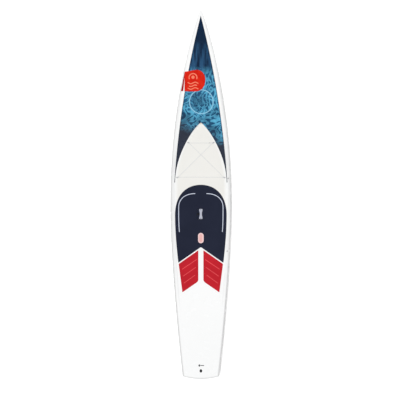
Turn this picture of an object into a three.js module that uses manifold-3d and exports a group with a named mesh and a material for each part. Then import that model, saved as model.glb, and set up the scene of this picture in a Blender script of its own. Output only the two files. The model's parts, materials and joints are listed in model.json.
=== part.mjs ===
// Stand up paddleboard, 14 ft x 28 in, composite touring shape, standing on its fin and belly.
// Units are millimetres. Inside the board group X points to the right rail, Y to the nose and
// Z out of the deck, from an origin at mid-length on the flat of the bottom.
import * as THREE from 'three';
import { mergeVertices } from 'three/addons/utils/BufferGeometryUtils.js';
import Module from 'manifold-3d';

const wasm = await Module();
wasm.setup();

// ---- hull ----
const LENGTH = 4267;
const HALF_LENGTH = LENGTH / 2;
const HALF_WIDTH = 356;
const WIDE_POINT = 2290;          // distance of the widest point from the nose
const NOSE_POWER = 2.25;
const NOSE_FULLNESS = 11;         // how much the tip is blunter than the plain curve
const TIP_HALF_WIDTH = 5;
const TAIL_HALF_WIDTH = 212;
const TAIL_POWER = 1.55;
const TAIL_BOW = 29;              // how far the middle of the tail stands behind its corners
const TAIL_END = TAIL_BOW - HALF_LENGTH;
const THICKNESS = 150;
const NOSE_THICKNESS = 74;
const NOSE_TAPER_START = 700;
const TAIL_THICKNESS = 46;
const TAIL_TAPER_START = -500;
const TAIL_TAPER_POWER = 1.7;
const NOSE_ROCKER = 170;
const NOSE_ROCKER_START = 300;
const NOSE_ROCKER_POWER = 2.4;
const STEM_ROUNDING = 16;
const STEM_REACH = 110;
const TAIL_ROCKER = 40;
const TAIL_ROCKER_START = -900;
const TAIL_ROCKER_POWER = 1.8;
const BOW_DEADRISE = 26;
const DEADRISE_START = 1350;
const DECK_CROWN = 7;
const DECK_EDGE = 0.935;          // where the rail starts, as a share of the half width
const BOTTOM_EDGE = 0.86;
const RAIL_HEIGHT = 0.45;         // height of the rail's widest line, as a share of the thickness
const RECESS_DEPTH = 10;
const RECESS_HALF_WIDTH = 309;
const RECESS_RAMP = 9;
const RECESS_APEX = 843;
const RECESS_ARCH = 720;          // length of the arched front part
const RECESS_ARCH_POWER = 0.88;
const RAIL_BORDER = 44;
const RECESS_FADE_START = -1150;
const RECESS_FADE_END = -1450;
const STATION_COUNT = 24;
const ARCH_STATIONS = [845, 800, 640, 400];
const SKIN = 3;
const GAP = 0.3;
const STRINGER = 6;

// ---- deck pads ----
const PAD_THICKNESS = 5;
const PAD_TOP = 119;
const PAD_HALF_WIDTH = 299;
const PAD_LINE = 8;
const CHEVRON = { apex: -599, corner: [261, -781] };
const KICK = { inner: 31, top: -637, outer: [256, -796], tip: [214, -1124], bottom: -994, round: 20 };
const GROOVE = { count: 3, width: 6, depth: 2, outer: [214, -854], inner: [45, -739], step: 81, taper: 9 };
const BADGE = { y: -494, length: 124, width: 68 };

// ---- handle and vent ----
const HANDLE = { y: -215, length: 136, width: 94, depth: 44, wall: 3, post: 16, postWidth: 34 };
const GRIP = { length: 118, end: 40, waist: 26, thickness: 14, top: 6, round: 10, bevel: 2.5 };
const GRIP_SCREW = { reach: 50, length: 20, sunk: 3 };
const HANDLE_BLOCK = { border: 32, below: 10, above: 20 };
const VENT = { x: -30, radius: 10, body: 13, length: 18, bore: 3.5, seat: 7, rim: 1, cup: 6, step: 3 };
const VENT_PLUG = { spigot: 6.5, low: 0.6, flange: 2.4, sunk: 0.6, slot: 2.2, slotFloor: 2 };
const VENT_SEAL = { inner: 7.4, outer: 9.2, low: 0.3, high: 2.1 };
const VENT_MEMBRANE = { low: 2.7, high: 2.2 };

// ---- deck fittings ----
const BUNGEE = { radius: 2.5, height: 7.4, front: [149, 612], rear: [276, 206], ends: 101 };
const BUNGEE_BEND = { far: 55, near: 17.6, touch: 4, overpass: 22, most: 0.6 };
const FERRULE = { inner: 2.8, outer: 4, length: 14 };
const EYE = { inner: 5, outer: 6.8, width: 5, tab: 8, tabThickness: 2.4, reach: 13 };
const INSERT = { radius: 7, length: 20, below: 0.2 };
const SCREW = { head: 4.4, headHeight: 2.4, shank: 2, length: 15 };
const STRAP_PLUGS = [['strap_plug_front', 316, 197], ['strap_plug_rear', 305, -645]];
const LEASH_BLOCK = { border: 20, below: 5, above: 10 };
const LEASH = { y: -2038, length: 38, width: 28, depth: 22, wall: 3, pin: 2, pinDepth: 7 };

// ---- fin ----
const FIN_BOX = { y: -1650, length: 267, width: 24, height: 28, slot: 10, slotLength: 240, slotDepth: 23 };
const FIN_BLOCK = { border: 25, below: -20, above: 18 };
const CHANNEL = { width: 15.4, low: 8, high: 14 };
const DROP_IN = { y: 60, length: 16 };
const FIN = { y: -12, depth: 228, chord: 150, tipChord: 44, rake: 104, thickness: 9 };
const FIN_TAB = { width: 9.2, length: 150, height: 21 };
const TONGUE = { length: 24, low: 2.6, high: 6.6 };
const FIN_PLATE = { width: 14.6, length: 12, low: 8.4, high: 12.4 };
const ROLL_PIN = { radius: 2.2, length: 14.4, y: -66, z: 11 };

const finishes = {
  lacquer: { color: 0xf6f5f1, roughness: 0.25, metalness: 0 },
  foam: { color: 0xf2efe6, roughness: 0.9, metalness: 0 },
  dense_foam: { color: 0xd8c27a, roughness: 0.85, metalness: 0 },
  paulownia: { color: 0xc79f6b, roughness: 0.7, metalness: 0 },
  navy_eva: { color: 0x252a3a, roughness: 0.85, metalness: 0 },
  red_eva: { color: 0xc4232d, roughness: 0.85, metalness: 0 },
  pale_eva: { color: 0xf5bec3, roughness: 0.8, metalness: 0 },
  black_plastic: { color: 0x17181c, roughness: 0.5, metalness: 0 },
  grey_plastic: { color: 0x8d9096, roughness: 0.5, metalness: 0 },
  white_plastic: { color: 0xd6d8e2, roughness: 0.4, metalness: 0 },
  steel: { color: 0xb9bcc0, roughness: 0.3, metalness: 1 },
  brass: { color: 0xb08d4c, roughness: 0.35, metalness: 1 },
  rubber: { color: 0x1d1d1f, roughness: 0.9, metalness: 0 },
  elastic: { color: 0xe4e5e8, roughness: 0.8, metalness: 0 },
  fin_composite: { color: 0x20242c, roughness: 0.3, metalness: 0 },
};

// ------------------------------------------------------------------ solids

function toSolid(geometry) {
  const bare = geometry.clone();
  bare.deleteAttribute('normal');
  bare.deleteAttribute('uv');
  const merged = mergeVertices(bare, 1e-4);
  return new wasm.Manifold(new wasm.Mesh({
    numProp: 3,
    vertProperties: new Float32Array(merged.attributes.position.array),
    triVerts: new Uint32Array(merged.index.array),
  }));
}

function toGeometry(solid) {
  const mesh = solid.getMesh();
  const geometry = new THREE.BufferGeometry();
  geometry.setAttribute('position', new THREE.BufferAttribute(new Float32Array(mesh.vertProperties), 3));
  geometry.setIndex(new THREE.BufferAttribute(new Uint32Array(mesh.triVerts), 1));
  geometry.computeVertexNormals();
  return geometry;
}

const placed = (geometry, frame) => toSolid(geometry.clone().applyMatrix4(frame));

function signedVolume(points, index) {
  let volume = 0;
  for (let i = 0; i < index.length; i += 3) {
    const [a, b, c] = [points[index[i]], points[index[i + 1]], points[index[i + 2]]];
    volume += a.dot(new THREE.Vector3().crossVectors(b, c)) / 6;
  }
  return volume;
}

// Triangles that fill one ring, seen in its own plane: X and Z, or X and Y for a flat ring.
function ringFaces(ring, first, flat) {
  const outline = ring.map((p) => new THREE.Vector2(p.x, flat ? p.y : p.z));
  const turned = THREE.ShapeUtils.isClockWise(outline);
  if (turned) outline.reverse();
  const faces = THREE.ShapeUtils.triangulateShape(outline, []);
  return faces.map((face) => {
    const corners = face.map((k) => first + (turned ? ring.length - 1 - k : k));
    return turned ? corners.reverse() : corners;
  });
}

// A closed solid through rings of equally many points, with its two end rings filled in.
function loft(rings, flat = false) {
  const count = rings[0].length;
  const points = rings.flat();
  const last = points.length - count;
  const index = [];
  for (let first = 0; first < last; first += count) {
    for (let k = 0; k < count; k += 1) {
      const [a, b] = [first + k, first + (k + 1) % count];
      index.push(a, b, a + count, b, b + count, a + count);
    }
  }
  for (const [a, b, c] of ringFaces(rings[0], 0, flat)) index.push(a, c, b);
  for (const face of ringFaces(rings[rings.length - 1], last, flat)) index.push(...face);
  if (signedVolume(points, index) < 0) index.reverse();
  const geometry = new THREE.BufferGeometry().setFromPoints(points);
  geometry.setIndex(index);
  return geometry;
}

function prism(shape, low, high) {
  const options = { depth: high - low, bevelEnabled: false, curveSegments: 6 };
  return new THREE.ExtrudeGeometry(shape, options).translate(0, 0, low);
}

function block(sizeX, sizeY, low, high, x = 0, y = 0) {
  return new THREE.BoxGeometry(sizeX, sizeY, high - low).translate(x, y, (low + high) / 2);
}

// A turned piece about an upright axis; its profile is a list of [radius, height].
function turned(profile, x = 0, y = 0, segments = 12) {
  const points = profile.map(([radius, height]) => new THREE.Vector2(radius, height));
  return new THREE.LatheGeometry(points, segments).rotateX(Math.PI / 2).translate(x, y, 0);
}

function rod(radius, low, high, x = 0, y = 0, segments = 12) {
  return turned([[0, low], [radius, low], [radius, high], [0, high]], x, y, segments);
}

function crossRod(radius, length, y, z) {
  return rod(radius, -length / 2, length / 2, 0, 0, 12).rotateY(Math.PI / 2).translate(0, y, z);
}

// Straight sides along Y and half-round ends.
function slotShape(length, width, y = 0) {
  const radius = width / 2;
  const reach = length / 2 - radius;
  const shape = new THREE.Shape();
  shape.absarc(0, y + reach, radius, 0, Math.PI, false);
  shape.absarc(0, y - reach, radius, Math.PI, Math.PI * 2, false);
  shape.closePath();
  return shape;
}

// A band of constant width along a line of points.
function bandShape(points, width) {
  const left = [];
  const right = [];
  points.forEach((point, i) => {
    const before = points[Math.max(i - 1, 0)];
    const after = points[Math.min(i + 1, points.length - 1)];
    const along = after.clone().sub(before).normalize();
    const side = new THREE.Vector2(-along.y, along.x).multiplyScalar(width / 2);
    left.push(point.clone().add(side));
    right.push(point.clone().sub(side));
  });
  return new THREE.Shape(left.concat(right.reverse()));
}

// ------------------------------------------------------------------ hull shape

const smooth = (value) => THREE.MathUtils.smoothstep(value, 0, 1);
const share = (value) => THREE.MathUtils.clamp(value, 0, 1);

function halfWidth(y) {
  const fromNose = HALF_LENGTH - y;
  if (fromNose > WIDE_POINT) {
    const aft = share((fromNose - WIDE_POINT) / (HALF_LENGTH - TAIL_END - WIDE_POINT));
    return HALF_WIDTH - (HALF_WIDTH - TAIL_HALF_WIDTH) * aft ** TAIL_POWER;
  }
  const curve = HALF_WIDTH * (1 - (1 - fromNose / WIDE_POINT) ** NOSE_POWER);
  const tip = Math.sqrt(1 - (1 - share(fromNose / 60)) ** 2) * (1 - smooth(fromNose / 1200));
  return Math.max(TIP_HALF_WIDTH, curve + NOSE_FULLNESS * tip);
}

function rockerHeight(y) {
  const toNose = share((y - NOSE_ROCKER_START) / (HALF_LENGTH - NOSE_ROCKER_START));
  const toTail = share((TAIL_ROCKER_START - y) / (HALF_LENGTH + TAIL_ROCKER_START));
  return NOSE_ROCKER * toNose ** NOSE_ROCKER_POWER + TAIL_ROCKER * toTail ** TAIL_ROCKER_POWER;
}

// The rocker line, rounded up into the stem at the nose.
function keelHeight(y) {
  return rockerHeight(y) + STEM_ROUNDING * share(1 - (HALF_LENGTH - y) / STEM_REACH) ** 2;
}

function thickness(y) {
  const toNose = share((y - NOSE_TAPER_START) / (HALF_LENGTH - NOSE_TAPER_START));
  const toTail = share((TAIL_TAPER_START - y) / (HALF_LENGTH + TAIL_TAPER_START));
  const nose = (THICKNESS - NOSE_THICKNESS) * toNose ** 2;
  return THICKNESS - nose - (THICKNESS - TAIL_THICKNESS) * toTail ** TAIL_TAPER_POWER;
}

function deadrise(y) {
  return BOW_DEADRISE * smooth((y - DEADRISE_START) / (HALF_LENGTH - DEADRISE_START));
}

function railHeight(y) {
  return rockerHeight(y) + RAIL_HEIGHT * thickness(y) + 0.35 * deadrise(y);
}

function floorHeight(y) {
  return rockerHeight(y) + thickness(y) - RECESS_DEPTH;
}

function recessHalfWidth(y) {
  const arch = share((RECESS_APEX - y) / RECESS_ARCH);
  return Math.min(RECESS_HALF_WIDTH * (1 - (1 - arch) ** 2) ** RECESS_ARCH_POWER, halfWidth(y) - RAIL_BORDER);
}

function deckHeight(x, y) {
  const across = share((recessHalfWidth(y) - Math.abs(x)) / RECESS_RAMP);
  const along = smooth((y - RECESS_FADE_END) / (RECESS_FADE_START - RECESS_FADE_END));
  const crowned = rockerHeight(y) + thickness(y) - DECK_CROWN * (x / halfWidth(y)) ** 2;
  return THREE.MathUtils.lerp(crowned, floorHeight(y), across * along);
}

// Places of the cross-sections: close together at the ends, with extra ones along the recess arch.
const stations = Array.from({ length: STATION_COUNT + 1 }, (_, i) => (
  HALF_LENGTH - (LENGTH + TAIL_BOW) * (1 - Math.cos(Math.PI * i / STATION_COUNT)) / 2
)).concat(ARCH_STATIONS).sort((a, b) => b - a);

// Right half of a cross-section as [x, z], from the deck's centre round the rail to the keel.
function halfSection(y, inset) {
  const full = halfWidth(y);
  const ramp = recessHalfWidth(y) > 2 * RECESS_RAMP ? recessHalfWidth(y) : 0.3 * full;
  const floor = Math.max(ramp - RECESS_RAMP, 0.8 * ramp);
  const edge = DECK_EDGE * full;
  const deck = [0, floor / 2, floor, ramp, (ramp + edge) / 2, edge];
  const section = deck.map((x) => [x, deckHeight(x, y) - inset]);
  const turns = [Math.PI / 4, Math.PI / 2];
  const top = section[section.length - 1][1];
  const rail = railHeight(y);
  for (const angle of turns) {
    section.push([edge + (full - edge) * Math.sin(angle), rail + (top - rail) * Math.cos(angle)]);
  }
  const bottomEdge = BOTTOM_EDGE * full;
  const chine = keelHeight(y) + deadrise(y) * BOTTOM_EDGE + inset;
  for (const angle of turns) {
    const across = bottomEdge + (full - bottomEdge) * Math.cos(angle);
    section.push([across, rail - (rail - chine) * Math.sin(angle)]);
  }
  section.push([bottomEdge / 2, keelHeight(y) + deadrise(y) * BOTTOM_EDGE / 2 + inset]);
  section.push([0, keelHeight(y) + inset]);
  const scale = Math.max(full - inset, 1) / full;
  return section.map(([x, z]) => [x * scale, z]);
}

function sectionRing(y, inset) {
  const right = halfSection(y, inset);
  const left = right.slice(1, -1).reverse().map(([x, z]) => [-x, z]);
  return right.concat(left).map(([x, z]) => new THREE.Vector3(x, Math.min(y, HALF_LENGTH - inset), z));
}

// Everything in front of the tail's shallow curve.
function tailCutter(inset) {
  const corner = TAIL_END + inset;
  const shape = new THREE.Shape();
  shape.moveTo(HALF_WIDTH, LENGTH);
  shape.lineTo(-HALF_WIDTH, LENGTH);
  shape.lineTo(-HALF_WIDTH, corner);
  shape.lineTo(-TAIL_HALF_WIDTH, corner);
  shape.quadraticCurveTo(0, corner - 2 * TAIL_BOW, TAIL_HALF_WIDTH, corner);
  shape.lineTo(HALF_WIDTH, corner);
  return toSolid(prism(shape, -THICKNESS, 4 * THICKNESS));
}

function hullSolid(inset) {
  return toSolid(loft(stations.map((y) => sectionRing(y, inset)))).intersect(tailCutter(inset));
}

function crossBand(y, reach, low, high) {
  return [[-reach, low], [reach, low], [reach, high], [-reach, high]].map(([x, z]) => (
    new THREE.Vector3(x, y, z)));
}

// Everything above (side = 1) or below (side = -1) the rail line, less half of the seam's gap.
function railCutter(side) {
  return toSolid(loft([HALF_LENGTH + SKIN, ...stations.slice(1)].map((y) => {
    const seam = railHeight(Math.min(y, HALF_LENGTH)) + side * GAP / 2;
    return crossBand(y, HALF_WIDTH * 1.2, seam, side * THICKNESS * 4);
  })));
}

// A slab that lies over the recessed floor, between two heights above it.
function floorSlab(low, high) {
  const line = stations.filter((y) => y > RECESS_FADE_START - 50 && y < RECESS_APEX);
  return toSolid(loft(line.map((y) => (
    crossBand(y, PAD_HALF_WIDTH * 1.1, floorHeight(y) + low, floorHeight(y) + high)))));
}

const hullMesh = new THREE.Mesh(
  toGeometry(hullSolid(0)),
  new THREE.MeshBasicMaterial({ side: THREE.DoubleSide }),
);

function surfaceHeight(x, y, side) {
  const start = new THREE.Vector3(x + 0.01, y, side * THICKNESS * 4);
  const ray = new THREE.Raycaster(start, new THREE.Vector3(0, 0, -side));
  return ray.intersectObject(hullMesh)[0].point.z;
}

// A place on the deck (side = 1) or the bottom (side = -1) that leans with the hull along Y.
function surfaceFrame(x, y, side = 1) {
  const step = 20;
  const rise = surfaceHeight(x, y + step, side) - surfaceHeight(x, y - step, side);
  const frame = new THREE.Matrix4().makeRotationX(Math.atan2(rise, 2 * step));
  return frame.setPosition(x, y, surfaceHeight(x, y, side));
}

// ------------------------------------------------------------------ scene graph

const board = new THREE.Group();
const cuts = { deck: [], bottom: [], core: [] };

function add(name, shape, finish, frame = null) {
  const geometry = shape.isBufferGeometry ? shape : toGeometry(shape);
  const mesh = new THREE.Mesh(geometry, new THREE.MeshStandardMaterial(finishes[finish]));
  mesh.name = name;
  if (frame) mesh.applyMatrix4(frame);
  board.add(mesh);
  return mesh;
}

const cutAll = (solid, tools) => tools.reduce((rest, tool) => rest.subtract(tool), solid);

// ------------------------------------------------------------------ handle and vent

function gripShape() {
  const { round } = GRIP;
  const [reach, end, waist] = [GRIP.length / 2, GRIP.end / 2, GRIP.waist / 2];
  const shape = new THREE.Shape();
  shape.moveTo(round - end, -reach);
  shape.lineTo(end - round, -reach);
  shape.quadraticCurveTo(end, -reach, end, round - reach);
  shape.bezierCurveTo(end, -reach / 2, waist, -reach / 2, waist, 0);
  shape.bezierCurveTo(waist, reach / 2, end, reach / 2, end, reach - round);
  shape.quadraticCurveTo(end, reach, end - round, reach);
  shape.lineTo(round - end, reach);
  shape.quadraticCurveTo(-end, reach, -end, reach - round);
  shape.bezierCurveTo(-end, reach / 2, -waist, reach / 2, -waist, 0);
  shape.bezierCurveTo(-waist, -reach / 2, -end, -reach / 2, -end, round - reach);
  shape.quadraticCurveTo(-end, -reach, round - end, -reach);
  return shape;
}

function gripSolid() {
  const { thickness: height, top, bevel } = GRIP;
  const geometry = new THREE.ExtrudeGeometry(gripShape(), {
    depth: height - 2 * bevel,
    bevelThickness: bevel,
    bevelSize: bevel,
    bevelOffset: -bevel,
    bevelSegments: 1,
    curveSegments: 4,
  });
  return toSolid(geometry.translate(0, 0, top - height + bevel));
}

// A pan-head screw: its head sits on the given height and its shank goes down.
function panScrew(seat, length) {
  const { head, headHeight, shank } = SCREW;
  return turned([[0, seat - length], [shank, seat - length], [shank, seat], [head, seat],
    [head, seat + headHeight * 0.5], [head * 0.7, seat + headHeight], [0, seat + headHeight]], 0, 0, 8);
}

function buildHandle() {
  const frame = surfaceFrame(0, HANDLE.y);
  const { length, width, depth, wall, post, postWidth } = HANDLE;
  const seat = GRIP.top - GRIP.thickness - GAP;
  const postStart = GRIP_SCREW.reach - post / 2;
  const postLength = length / 2 + wall / 2 - postStart;
  const shell = toSolid(prism(slotShape(length + 2 * wall, width + 2 * wall), -depth - wall, 0));
  let hollow = toSolid(prism(slotShape(length, width), -depth, 1));
  let grip = gripSolid();
  for (const [name, side] of [['handle_screw_front', 1], ['handle_screw_rear', -1]]) {
    const y = side * GRIP_SCREW.reach;
    const postY = side * (postStart + postLength / 2);
    const headSeat = GRIP.top - GRIP_SCREW.sunk;
    const hole = SCREW.shank + GAP;
    hollow = hollow.subtract(toSolid(block(postWidth, postLength, -depth - 1, seat, 0, postY)));
    hollow = hollow.add(toSolid(rod(hole, headSeat - GRIP_SCREW.length - 1, seat + 1, 0, y)));
    grip = grip.subtract(toSolid(rod(hole, seat - 1, GRIP.top + 1, 0, y)));
    grip = grip.subtract(toSolid(rod(SCREW.head + 2 * GAP, headSeat, GRIP.top + 1, 0, y)));
    add(name, panScrew(headSeat + GAP, GRIP_SCREW.length).translate(0, y, 0), 'steel', frame);
  }
  hollow = hollow.add(toSolid(rod(VENT.body + GAP, -depth - wall - 1, VENT.rim - depth, VENT.x, 0, 16)));
  add('handle_cup', shell.subtract(hollow), 'black_plastic', frame);
  add('handle_grip', grip, 'white_plastic', frame);
  buildVent(frame);

  const around = 2 * (wall + GAP);
  const { border, below, above } = HANDLE_BLOCK;
  const blockLow = -depth - wall - VENT.length - below;
  const blockSlot = (gap) => slotShape(length + 2 * (border + gap), width + 2 * (border + gap));
  const opening = placed(prism(slotShape(length + around, width + around), -depth - wall - GAP, above), frame);
  const vent = placed(rod(VENT.body + GAP, -depth - VENT.length - GAP, -depth, VENT.x, 0, 16), frame);
  const outer = placed(prism(blockSlot(0), blockLow, above), frame);
  const pocket = prism(blockSlot(GAP), blockLow - GAP, above);
  const foam = hullSolid(SKIN + GAP).intersect(outer);
  add('handle_block', foam.subtract(opening).subtract(vent), 'dense_foam');
  cuts.deck.push(opening);
  cuts.core.push(placed(pocket, frame));
}

function buildVent(frame) {
  const { x, radius, body, length, bore, seat } = VENT;
  const floor = -HANDLE.depth;
  const rim = floor + VENT.rim;
  const bed = rim - VENT.cup;
  const low = floor - length;
  const mouth = radius + GAP;
  const profile = [[bore, low], [body, low], [body, rim], [mouth, rim], [mouth, bed], [seat, bed],
    [seat, bed - VENT.step], [bore, bed - VENT.step], [bore, low]];
  const [ringLow, ringHigh] = [bed + VENT_SEAL.low, bed + VENT_SEAL.high];
  const ring = [[VENT_SEAL.inner, ringLow], [VENT_SEAL.outer, ringLow], [VENT_SEAL.outer, ringHigh],
    [VENT_SEAL.inner, ringHigh], [VENT_SEAL.inner, ringLow]];
  const { spigot, flange, sunk, slot, slotFloor } = VENT_PLUG;
  const plugLow = bed + VENT_PLUG.low;
  const plug = turned([[0, plugLow], [spigot, plugLow], [spigot, bed + flange], [radius, bed + flange],
    [radius, rim - sunk], [0, rim - sunk]], x, 0, 16);
  const screwdriverSlot = block(1.4 * radius, slot, rim - slotFloor, rim, x, 0);
  const { low: discLow, high: discHigh } = VENT_MEMBRANE;
  const membrane = rod(seat - GAP, bed - discLow, bed - discHigh, x, 0, 16);
  add('vent_body', turned(profile, x, 0, 16), 'black_plastic', frame);
  add('vent_membrane', membrane, 'white_plastic', frame);
  add('vent_o_ring', turned(ring, x, 0, 16), 'rubber', frame);
  add('vent_plug', toSolid(plug).subtract(toSolid(screwdriverSlot)), 'black_plastic', frame);
}

// ------------------------------------------------------------------ deck pads

function mainPadShape() {
  const half = PAD_HALF_WIDTH;
  const [cornerX, cornerY] = CHEVRON.corner;
  const shape = new THREE.Shape();
  shape.moveTo(0, PAD_TOP);
  shape.bezierCurveTo(-170, PAD_TOP, -half, -10, -half, -225);
  shape.bezierCurveTo(-half, -420, -280, -620, -cornerX, cornerY);
  shape.lineTo(0, CHEVRON.apex);
  shape.lineTo(cornerX, cornerY);
  shape.bezierCurveTo(280, -620, half, -420, half, -225);
  shape.bezierCurveTo(half, -10, 170, PAD_TOP, 0, PAD_TOP);
  return shape;
}

// The light line inside the pad's edge, on the right (side = 1) or the left (side = -1).
function padLineShape(side) {
  const path = new THREE.Path();
  path.moveTo(side * 68, 21);
  path.bezierCurveTo(side * 170, 21, side * 257, -30, side * 257, -140);
  path.bezierCurveTo(side * 257, -230, side * 257, -330, side * 249, -420);
  return bandShape(path.getPoints(10), PAD_LINE);
}

function kickPadShape(side) {
  const { inner, top, outer, tip, bottom, round } = KICK;
  const shape = new THREE.Shape();
  shape.moveTo(side * inner, top);
  shape.lineTo(side * outer[0], outer[1]);
  shape.lineTo(side * tip[0], tip[1]);
  shape.lineTo(side * (inner + round), bottom - 0.8 * round);
  shape.quadraticCurveTo(side * inner, bottom, side * inner, bottom + round);
  return shape;
}

function grooveShape(side, k) {
  const { width, outer, inner, step, taper } = GROOVE;
  const from = new THREE.Vector2(side * (outer[0] - taper * k), outer[1] - step * k);
  const to = new THREE.Vector2(side * (inner[0] + taper * k), inner[1] - 1.12 * step * k);
  return bandShape([from, to], width);
}

function buildPads() {
  const pad = floorSlab(GAP, GAP + PAD_THICKNESS);
  const tall = (shape) => toSolid(prism(shape, 0, 2 * THICKNESS));
  const rim = 2 * HANDLE.wall + 1;
  let main = pad.intersect(tall(mainPadShape()));
  main = main.subtract(tall(slotShape(HANDLE.length + rim, HANDLE.width + rim, HANDLE.y)));
  main = main.subtract(tall(slotShape(BADGE.length + 1, BADGE.width + 1, BADGE.y)));
  main = main.subtract(tall(padLineShape(1))).subtract(tall(padLineShape(-1)));
  add('main_deck_pad', main, 'navy_eva');
  add('pad_badge', pad.intersect(tall(slotShape(BADGE.length, BADGE.width, BADGE.y))), 'pale_eva');
  const grooveLow = GAP + PAD_THICKNESS - GROOVE.depth;
  const grooves = floorSlab(grooveLow, grooveLow + PAD_THICKNESS);
  for (const [name, side] of [['kick_pad_right', 1], ['kick_pad_left', -1]]) {
    let kick = pad.intersect(tall(kickPadShape(side)));
    for (let k = 0; k < GROOVE.count; k += 1) {
      kick = kick.subtract(grooves.intersect(tall(grooveShape(side, k))));
    }
    add(name, kick, 'red_eva');
  }
}

// ------------------------------------------------------------------ small deck fittings

// A threaded insert flush in the deck, with its screw; returns the insert's place.
function buildInsert(name, x, y, seat) {
  const { radius, length, below } = INSERT;
  const hole = toSolid(rod(SCREW.shank + GAP, 2 - length, 1));
  const frame = surfaceFrame(x, y);
  const pocket = placed(rod(radius + GAP, -length - GAP, 5), frame);
  add(`${name}_insert`, toSolid(rod(radius, -length, -below)).subtract(hole), 'grey_plastic', frame);
  add(`${name}_screw`, panScrew(seat, SCREW.length), 'steel', frame);
  cuts.deck.push(pocket);
  cuts.core.push(pocket);
  return frame;
}

// A cord eye: a screw tab at the origin and a ring beside it, towards +X, open along Y.
function eyeSolid() {
  const { inner, outer, width, tab, tabThickness, reach } = EYE;
  const low = 0.5;
  const profile = [[inner, -width / 2], [outer, -width / 2], [outer, width / 2], [inner, width / 2],
    [inner, -width / 2]];
  const ring = turned(profile, 0, 0, 14).rotateX(Math.PI / 2).translate(reach, 0, BUNGEE.height);
  const clear = rod(inner, -width, width, 0, 0, 14).rotateX(Math.PI / 2).translate(reach, 0, BUNGEE.height);
  let eye = toSolid(rod(tab, low, low + tabThickness));
  eye = eye.add(toSolid(block(reach, width, low, low + tabThickness, reach / 2, 0)));
  eye = eye.subtract(toSolid(clear)).add(toSolid(ring));
  return eye.subtract(toSolid(rod(SCREW.shank + GAP, -1, low + tabThickness + 1)));
}

// The middles of the four eyes' rings, where the cord turns, named by their corner.
function buildEyes() {
  const corners = [['front_left', -1, BUNGEE.front], ['front_right', 1, BUNGEE.front],
    ['rear_left', -1, BUNGEE.rear], ['rear_right', 1, BUNGEE.rear]];
  const seat = 0.5 + EYE.tabThickness + GAP;
  for (const [corner, side, [x, y]] of corners) {
    const frame = buildInsert(`bungee_${corner}`, side * x, y, seat);
    const turn = eyeTurn(side, corner.startsWith('front'));
    const geometry = toGeometry(eyeSolid()).rotateZ(turn);
    add(`bungee_${corner}_eye`, geometry, 'black_plastic', frame);
  }
}

// Direction from an eye's screw to its ring: half-way between the two runs that meet there.
function eyeTurn(side, front) {
  const [fromX, fromY] = BUNGEE.front;
  const [toX, toY] = BUNGEE.rear;
  const run = new THREE.Vector2(-(fromX + toX), (fromY - toY) * (front ? -1 : 1)).normalize();
  const middle = run.add(new THREE.Vector2(-1, 0)).normalize();
  return Math.atan2(middle.y, side * middle.x);
}

function eyeRing(side, front) {
  const [x, y] = front ? BUNGEE.front : BUNGEE.rear;
  const turn = eyeTurn(side, front);
  return new THREE.Vector2(side * x + EYE.reach * Math.cos(turn), y + EYE.reach * Math.sin(turn));
}

// A curve whose steps follow its own points, so that short bends get as many as long runs.
class RouteCurve extends THREE.CatmullRomCurve3 {
  getPointAt(u, target) {
    return this.getPoint(u, target);
  }

  getTangentAt(u, target) {
    return this.getTangent(u, target);
  }
}

// Cord from its end at the ferrule, round the four eyes and back to the ferrule.
function bungeePoints() {
  const { far, near, touch, overpass, most } = BUNGEE_BEND;
  const corners = [eyeRing(1, true), eyeRing(-1, false), eyeRing(1, false), eyeRing(-1, true)];
  const start = new THREE.Vector2(BUNGEE.ends, corners[0].y);
  const crossing = corners[0].clone().lerp(corners[1], eyeCrossing(corners));
  const points = [new THREE.Vector2(BUNGEE.ends + GAP, start.y)];
  const stops = [start, ...corners, start];
  for (let k = 1; k < stops.length - 1; k += 1) {
    const [before, at, after] = [stops[k - 1], stops[k], stops[k + 1]];
    const back = before.clone().sub(at).normalize();
    const on = after.clone().sub(at).normalize();
    const along = on.clone().sub(back).normalize();
    const reach = (stop) => Math.min(far, most * stop.distanceTo(at));
    points.push(at.clone().addScaledVector(back, reach(before)));
    points.push(at.clone().addScaledVector(back, near));
    points.push(at.clone().addScaledVector(along, -touch), at.clone().addScaledVector(along, touch));
    points.push(at.clone().addScaledVector(on, near));
    points.push(at.clone().addScaledVector(on, reach(after)));
    if (k === 1 || k === 3) {
      const step = on.clone().multiplyScalar(overpass);
      points.push(crossing.clone().sub(step), crossing.clone(), crossing.clone().add(step));
    }
  }
  points.push(new THREE.Vector2(BUNGEE.ends - GAP, start.y));
  return { points, crossing };
}

// Share of the first diagonal at which the two diagonals meet, on the centre line.
function eyeCrossing([from, to]) {
  return from.x / (from.x - to.x);
}

function buildBungee() {
  const { points, crossing } = bungeePoints();
  let passes = 0;
  const route = points.map((point) => {
    const onCrossing = point.distanceTo(crossing) < 1;
    passes += onCrossing ? 1 : 0;
    const lift = onCrossing ? (passes === 1 ? 1 : -1) * (BUNGEE.radius + GAP) : 0;
    return new THREE.Vector3(point.x, point.y, floorHeight(point.y) + BUNGEE.height + lift);
  });
  const section = new THREE.Shape().absarc(0, 0, BUNGEE.radius, 0, 2 * Math.PI);
  const cord = new THREE.ExtrudeGeometry(section, {
    extrudePath: new RouteCurve(route, false, 'centripetal'),
    steps: 2 * (route.length - 1),
    curveSegments: 4,
    bevelEnabled: false,
  });
  add('bungee_cord', cord, 'elastic');
  const { inner, outer, length } = FERRULE;
  const profile = [[inner, -length / 2], [outer, -length / 2], [outer, length / 2], [inner, length / 2],
    [inner, -length / 2]];
  const ferrule = turned(profile, 0, 0, 14).rotateY(Math.PI / 2);
  ferrule.translate(BUNGEE.ends, route[0].y, route[0].z);
  add('bungee_ferrule', ferrule, 'steel');
}

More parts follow.
